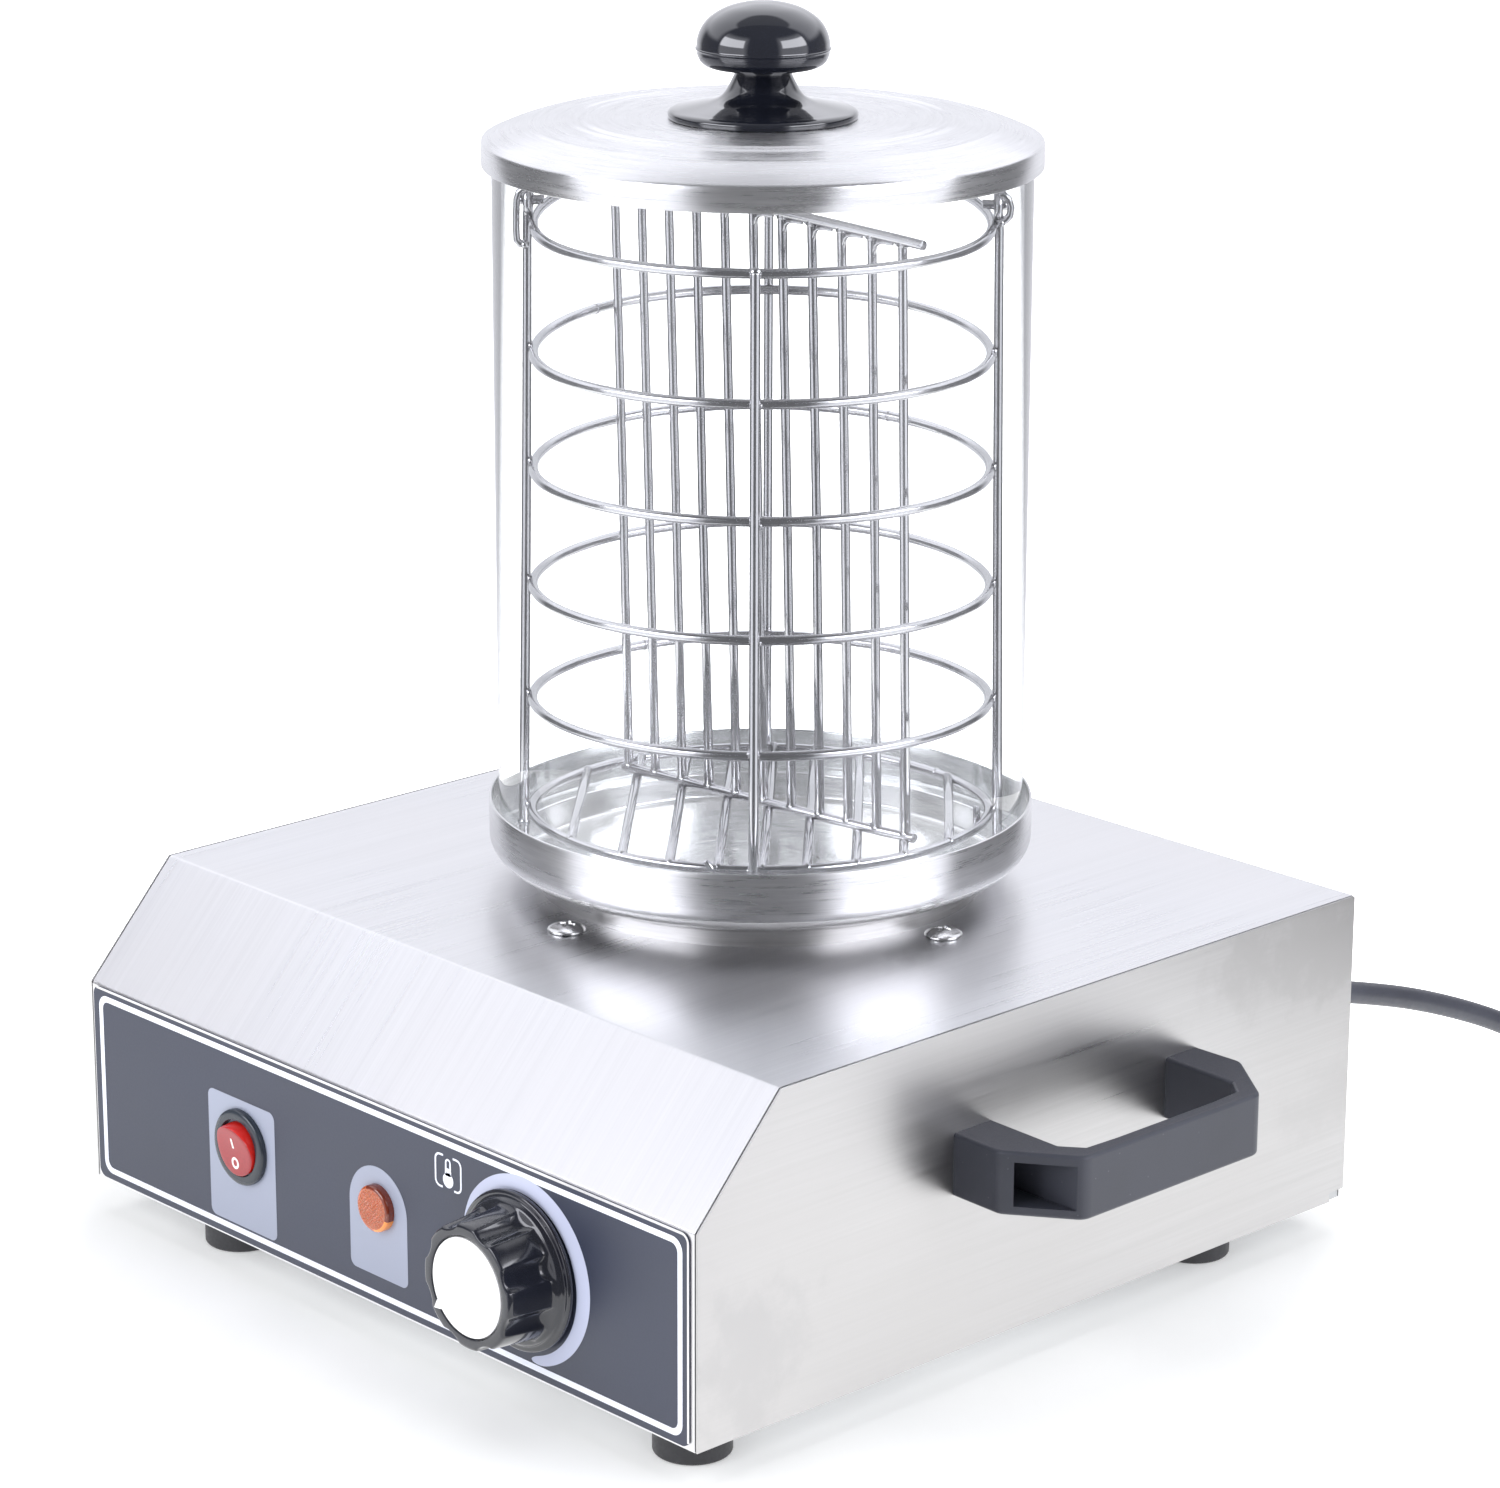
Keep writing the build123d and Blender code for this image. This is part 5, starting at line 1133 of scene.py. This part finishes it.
ZB, ZT = 126.5, 305.0
pt.tube([dv(2.25 - 60.75, 0, ZB), dv(0, 0, ZB), dv(2.25 + 60.75, 0, ZB)], WIRE, seg=14)
xm = (64.3 - 74.3 + 8) / 2 - 0.8
pt.tube([dv(xm - 66.0, 0, ZT), dv(0, 0, ZT), dv(xm + 66.0, 0, ZT)], WIRE, seg=16)
for i in range(11):
    xb = -56.0 + 11.5 * i + 0.1 * (i - 5)
    xt = -64.0 + 12.0 * i
    a, b = dv(xb, 0, ZB), dv(xt, 0, ZT)
    mid = a.lerp(b, 0.5) + Vector((rnd.uniform(-0.25, 0.25), rnd.uniform(-0.2, 0.2), 0))
    pt.tube([a, mid, b], 1.45, seg=14)
    pt.blob(b + Vector((0.0, 0.0, -1.5)), 2.0 + rnd.uniform(0, 0.3), 1.6, 1.0)
    al = (dv(1, 0, 0) - dv(0, 0, 0)).normalized()
    if i < 10:
        pt.tube([b + al * 8.6 + Vector((0, -0.3, -1.75)), b + al * 4.6 + Vector((0, -0.3, -1.85)), b + al * 2.9 + Vector((0, -0.3, -2.15)),
                 b + al * 1.7 + Vector((0, -0.3, -3.1)), b + al * 1.0 + Vector((0, -0.2, -5.0)), b + al * 0.6 + Vector((0, -0.1, -7.0))],
                [0.45, 0.62, 0.75, 0.8, 0.8, 0.6], seg=10)
    pt.blob(b + Vector((rnd.choice((-1.7, 1.7)), -0.4, -1.2)), 0.85, 0.85, 0.8)
    pt.blob(a + Vector((0.0, 0.0, 0.7)), 2.0 + rnd.uniform(0, 0.4), 1.7, 1.3)
    if rnd.random() < 0.7:
        pt.blob(a + Vector((rnd.uniform(-2.6, 2.6), -0.6, rnd.uniform(-0.2, 1.4))), 0.8, 0.8, 0.8)
pt.build("divider_comb", M["wire"].mat, "basket", ("divider",), weld=False)

# bail folded to the back
pt = Part()
c0 = Vector((0, AXIS_Y, EYE_Z))
ax45 = Vector((math.cos(math.radians(45)), math.sin(math.radians(45)), 0))
path = [c0 + ax45 * 66.5, c0 + ax45 * 69.0, c0 + ax45 * 72.0]
for q in (0.25, 0.5, 0.75):
    aa = math.radians(90 * q)
    path.append(c0 + ax45 * (72.4 + 2.6 * math.sin(aa)) + Vector((-ax45.y, ax45.x, 0)) * (2.6 - 2.6 * math.cos(aa)))
for i in range(2, 59):
    a = math.radians(45 + 3.0 * i)
    path.append(c0 + Vector((math.cos(a), math.sin(a), 0)) * 75.0)
ax2 = -ax45
perp2 = Vector((-ax2.y, ax2.x, 0)) * -1
for q in (0.75, 0.5, 0.25):
    aa = math.radians(90 * q)
    path.append(c0 + ax2 * (72.4 + 2.6 * math.sin(aa)) + perp2 * (2.6 - 2.6 * math.cos(aa)))
path += [c0 + ax2 * 72.0, c0 + ax2 * 69.0, c0 + ax2 * 66.5]
pt.tube(path, 1.4, seg=14)
pt.build("bail_wire", M["wire"].mat, "bail", ("bail_handle",), weld=False)

# ----------------------------------------------------------------------
# Floor, lights, world
# ----------------------------------------------------------------------
fl = bpy.data.meshes.new("floor")
s = 6.0
fl.from_pydata([(-s, -s, 0), (s, -s, 0), (s, s, 0), (-s, s, 0)], [], [(0, 1, 2, 3)])
floor = link(bpy.data.objects.new("floor", fl))
mf = Mat("floor_white")
na = mf.noise(mf.mapped((11, 11, 11)), 1.0, 6.0, 0.65)
mf.set(base=mf.mixc(mf.remap(na, 0, 1, 0.35, 0.65), (0.74, 0.75, 0.76), (0.79, 0.795, 0.80)), rough=mf.remap(na, 0.6, 0.75), spec=0.15,
       emis=(1.0, 1.0, 1.0))
ln_ = mf.n("ShaderNodeVectorMath", operation="LENGTH")
mf.l(mf.obj(), ln_.inputs[0])
flp = mf.n("ShaderNodeLightPath")
mirror = mf.math("MULTIPLY", flp.outputs["Is Reflection Ray"], flp.outputs["Is Glossy Ray"])
far = mf.remap(ln_.outputs["Value"], 0.0, 2.2, 0.19, 0.45)
mf.set(emiss=mf.math("ADD", mf.math("MULTIPLY_ADD", mirror, 0.55, 0.26), mf.math("MULTIPLY", far, mf.math("SUBTRACT", 1.0, mirror))))
fl.materials.append(mf.mat)


def softbox(name, direction, dist, height, w, h, power, tilt=0.0):
    ld = bpy.data.lights.new(name, "AREA")
    ld.shape = "RECTANGLE"
    ld.size, ld.size_y = w, h
    ld.energy = power
    lo = link(bpy.data.objects.new(name, ld))
    d = Vector((direction[0], direction[1], 0)).normalized()
    lo.location = d * dist + Vector((0, 0, height))
    aim = Vector((0, 0.02, 0.25 + tilt))
    lo.rotation_mode = "QUATERNION"
    lo.rotation_quaternion = (aim - lo.location).to_track_quat("-Z", "Y")
    lo.visible_camera = False
    lo.visible_glossy = False
    return lo


softbox("softbox_left", (-0.196, -0.981), 1.5, 0.95, 1.35, 1.5, 20.0)
softbox("softbox_right", (0.968, 0.254), 1.5, 0.95, 1.25, 1.5, 19.0)
ld = bpy.data.lights.new("top_light", "AREA")
ld.shape = "RECTANGLE"
ld.size, ld.size_y = 1.6, 1.6
ld.energy = 15.0
tl = link(bpy.data.objects.new("top_light", ld))
tl.location = (-0.3, 0.3, 2.2)
tl.visible_camera = False
tl.visible_glossy = False

# What mirror-like pieces see: a dome and the ground under it, bright where
# the two softboxes and the white back are, darker between them
dome = Part()
NR = 96
ring0 = [(0.0, 0.0015), (0.5, 0.0015), (1.0, 0.0015), (2.1, 0.0015)] + [(2.1 * math.cos(math.radians(q)), 0.0015 + 2.1 * math.sin(math.radians(q))) for q in range(4, 89, 4)]
dv_, df_ = [], []
for (r_, z_) in ring0:
    for i in range(NR):
        t_ = 2 * math.pi * i / NR
        q_ = r_
        if r_ < 1.05:       # the white ground reaches further out on the sides and at the back
            rel = abs((math.degrees(t_) + 43.3 + 180.0) % 360.0 - 180.0)
            w_ = min(max((rel - 34.0) / 24.0, 0.0), 1.0)
            w_ = w_ * w_ * (3 - 2 * w_)
            r_in = 0.25 + 0.23 * w_
            q_ = r_in + (1.3 - r_in) * r_
        dv_.append((q_ * math.cos(t_), q_ * math.sin(t_), z_))
dv_.append((0.0, 0.0, 2.1015))
for j in range(len(ring0) - 1):
    df_ += [(j * NR + i, j * NR + (i + 1) % NR, (j + 1) * NR + (i + 1) % NR, (j + 1) * NR + i) for i in range(NR)]
a_ = (len(ring0) - 1) * NR
df_ += [(a_ + i, a_ + (i + 1) % NR, len(dv_) - 1) for i in range(NR)]
dm = bpy.data.meshes.new("studio_dome")
dm.from_pydata(dv_, [], df_)
dome = link(bpy.data.objects.new("studio_dome", dm))
me_ = Mat("studio_light")
cc = me_.n("ShaderNodeSeparateXYZ")
me_.l(me_.obj(), cc.inputs[0])
ox, oy, oz = cc.outputs
xa = me_.math("SUBTRACT", me_.math("MULTIPLY", ox, 0.728), me_.math("MULTIPLY", oy, 0.686))
ya = me_.math("ADD", me_.math("MULTIPLY", ox, 0.686), me_.math("MULTIPLY", oy, 0.728))
az_ = me_.math("MULTIPLY", me_.math("ABSOLUTE", me_.math("ARCTAN2", ya, xa)), 1.0 / math.pi)
rp = me_.n("ShaderNodeValToRGB")
me_.l(az_, rp.inputs["Fac"])
els = rp.color_ramp.elements
SEE = [(0, 0.20), (25, 0.21), (34, 1.4), (80, 1.4), (85, 0.23), (129, 0.22), (141, 1.05), (180, 1.06)]
els[0].position, els[0].color = 0.0, (SEE[0][1],) * 3 + (1,)
els[1].position, els[1].color = 1.0, (SEE[-1][1],) * 3 + (1,)
for d_, v_ in SEE[1:-1]:
    e_ = els.new(d_ / 180.0)
    e_.color = (v_, v_, v_, 1)
el_ = me_.math("MULTIPLY", me_.math("ARCTAN2", oz, me_.math("SQRT", me_.math("ADD", me_.math("MULTIPLY", ox, ox), me_.math("MULTIPLY", oy, oy)))), 180.0 / math.pi)
azd = me_.math("MULTIPLY", az_, 180.0)
low = me_.n("ShaderNodeSeparateColor")
me_.l(rp.outputs["Color"], low.inputs[0])


def blend(a, b, t):
    return me_.math("ADD", me_.math("MULTIPLY", a, me_.math("SUBTRACT", 1.0, t)), me_.math("MULTIPLY", b, t))


behind = blend(low.outputs[0], me_.remap(el_, 1.52, 0.40, 64.0, 68.0, True), me_.remap(el_, 0.0, 1.0, 23.0, 34.0, True))
before = blend(low.outputs[0], 0.22, me_.remap(el_, 0.0, 1.0, 43.0, 54.0, True))
lev = blend(before, behind, me_.remap(azd, 0.0, 1.0, 82.0, 98.0, True))
pan = me_.math("MULTIPLY", me_.math("MULTIPLY", me_.remap(azd, 0.0, 1.0, 33.0, 36.0, True), me_.remap(azd, 1.0, 0.0, 80.0, 84.0, True)),
               me_.math("MULTIPLY", me_.remap(el_, 0.0, 1.0, 21.0, 24.0, True), me_.remap(el_, 1.0, 0.0, 40.0, 43.0, True)))
lev = me_.math("ADD", lev, me_.math("MULTIPLY", pan, 5.5))
em = me_.n("ShaderNodeEmission")
em.inputs["Color"].default_value = (0.965, 0.975, 1.04, 1)
me_.l(lev, em.inputs["Strength"])
me_.l(em.outputs[0], me_.nt.nodes["Material Output"].inputs["Surface"])
me_.nt.nodes.remove(me_.bsdf)
try:
    me_.mat.cycles.emission_sampling = "NONE"
except AttributeError:
    pass
dm.materials.append(me_.mat)
dome.visible_camera = False
dome.visible_diffuse = False
dome.visible_transmission = False
dome.visible_volume_scatter = False
dome.visible_shadow = False

world = bpy.data.worlds.new("studio")
bpy.context.scene.world = world
world.use_nodes = True
bg = world.node_tree.nodes["Background"]
bg.inputs["Color"].default_value = (0.97, 0.98, 1.0, 1)
wn = world.node_tree
wl = wn.nodes.new("ShaderNodeLightPath")
wm = wn.nodes.new("ShaderNodeMath")
wm.operation = "MULTIPLY_ADD"
wm.inputs[1].default_value = 0.62
wm.inputs[2].default_value = 0.42
wx = wn.nodes.new("ShaderNodeMath")
wx.operation = "MAXIMUM"
wn.links.new(wl.outputs["Is Transmission Ray"], wx.inputs[0])
wn.links.new(wl.outputs["Is Camera Ray"], wx.inputs[1])
wn.links.new(wx.outputs[0], wm.inputs[0])
wn.links.new(wm.outputs[0], bg.inputs["Strength"])

bpy.context.scene.view_settings.view_transform = "Standard"
bpy.context.scene.view_settings.look = "None"
bpy.context.scene.view_settings.exposure = 0.0

bpy.context.view_layer.update()
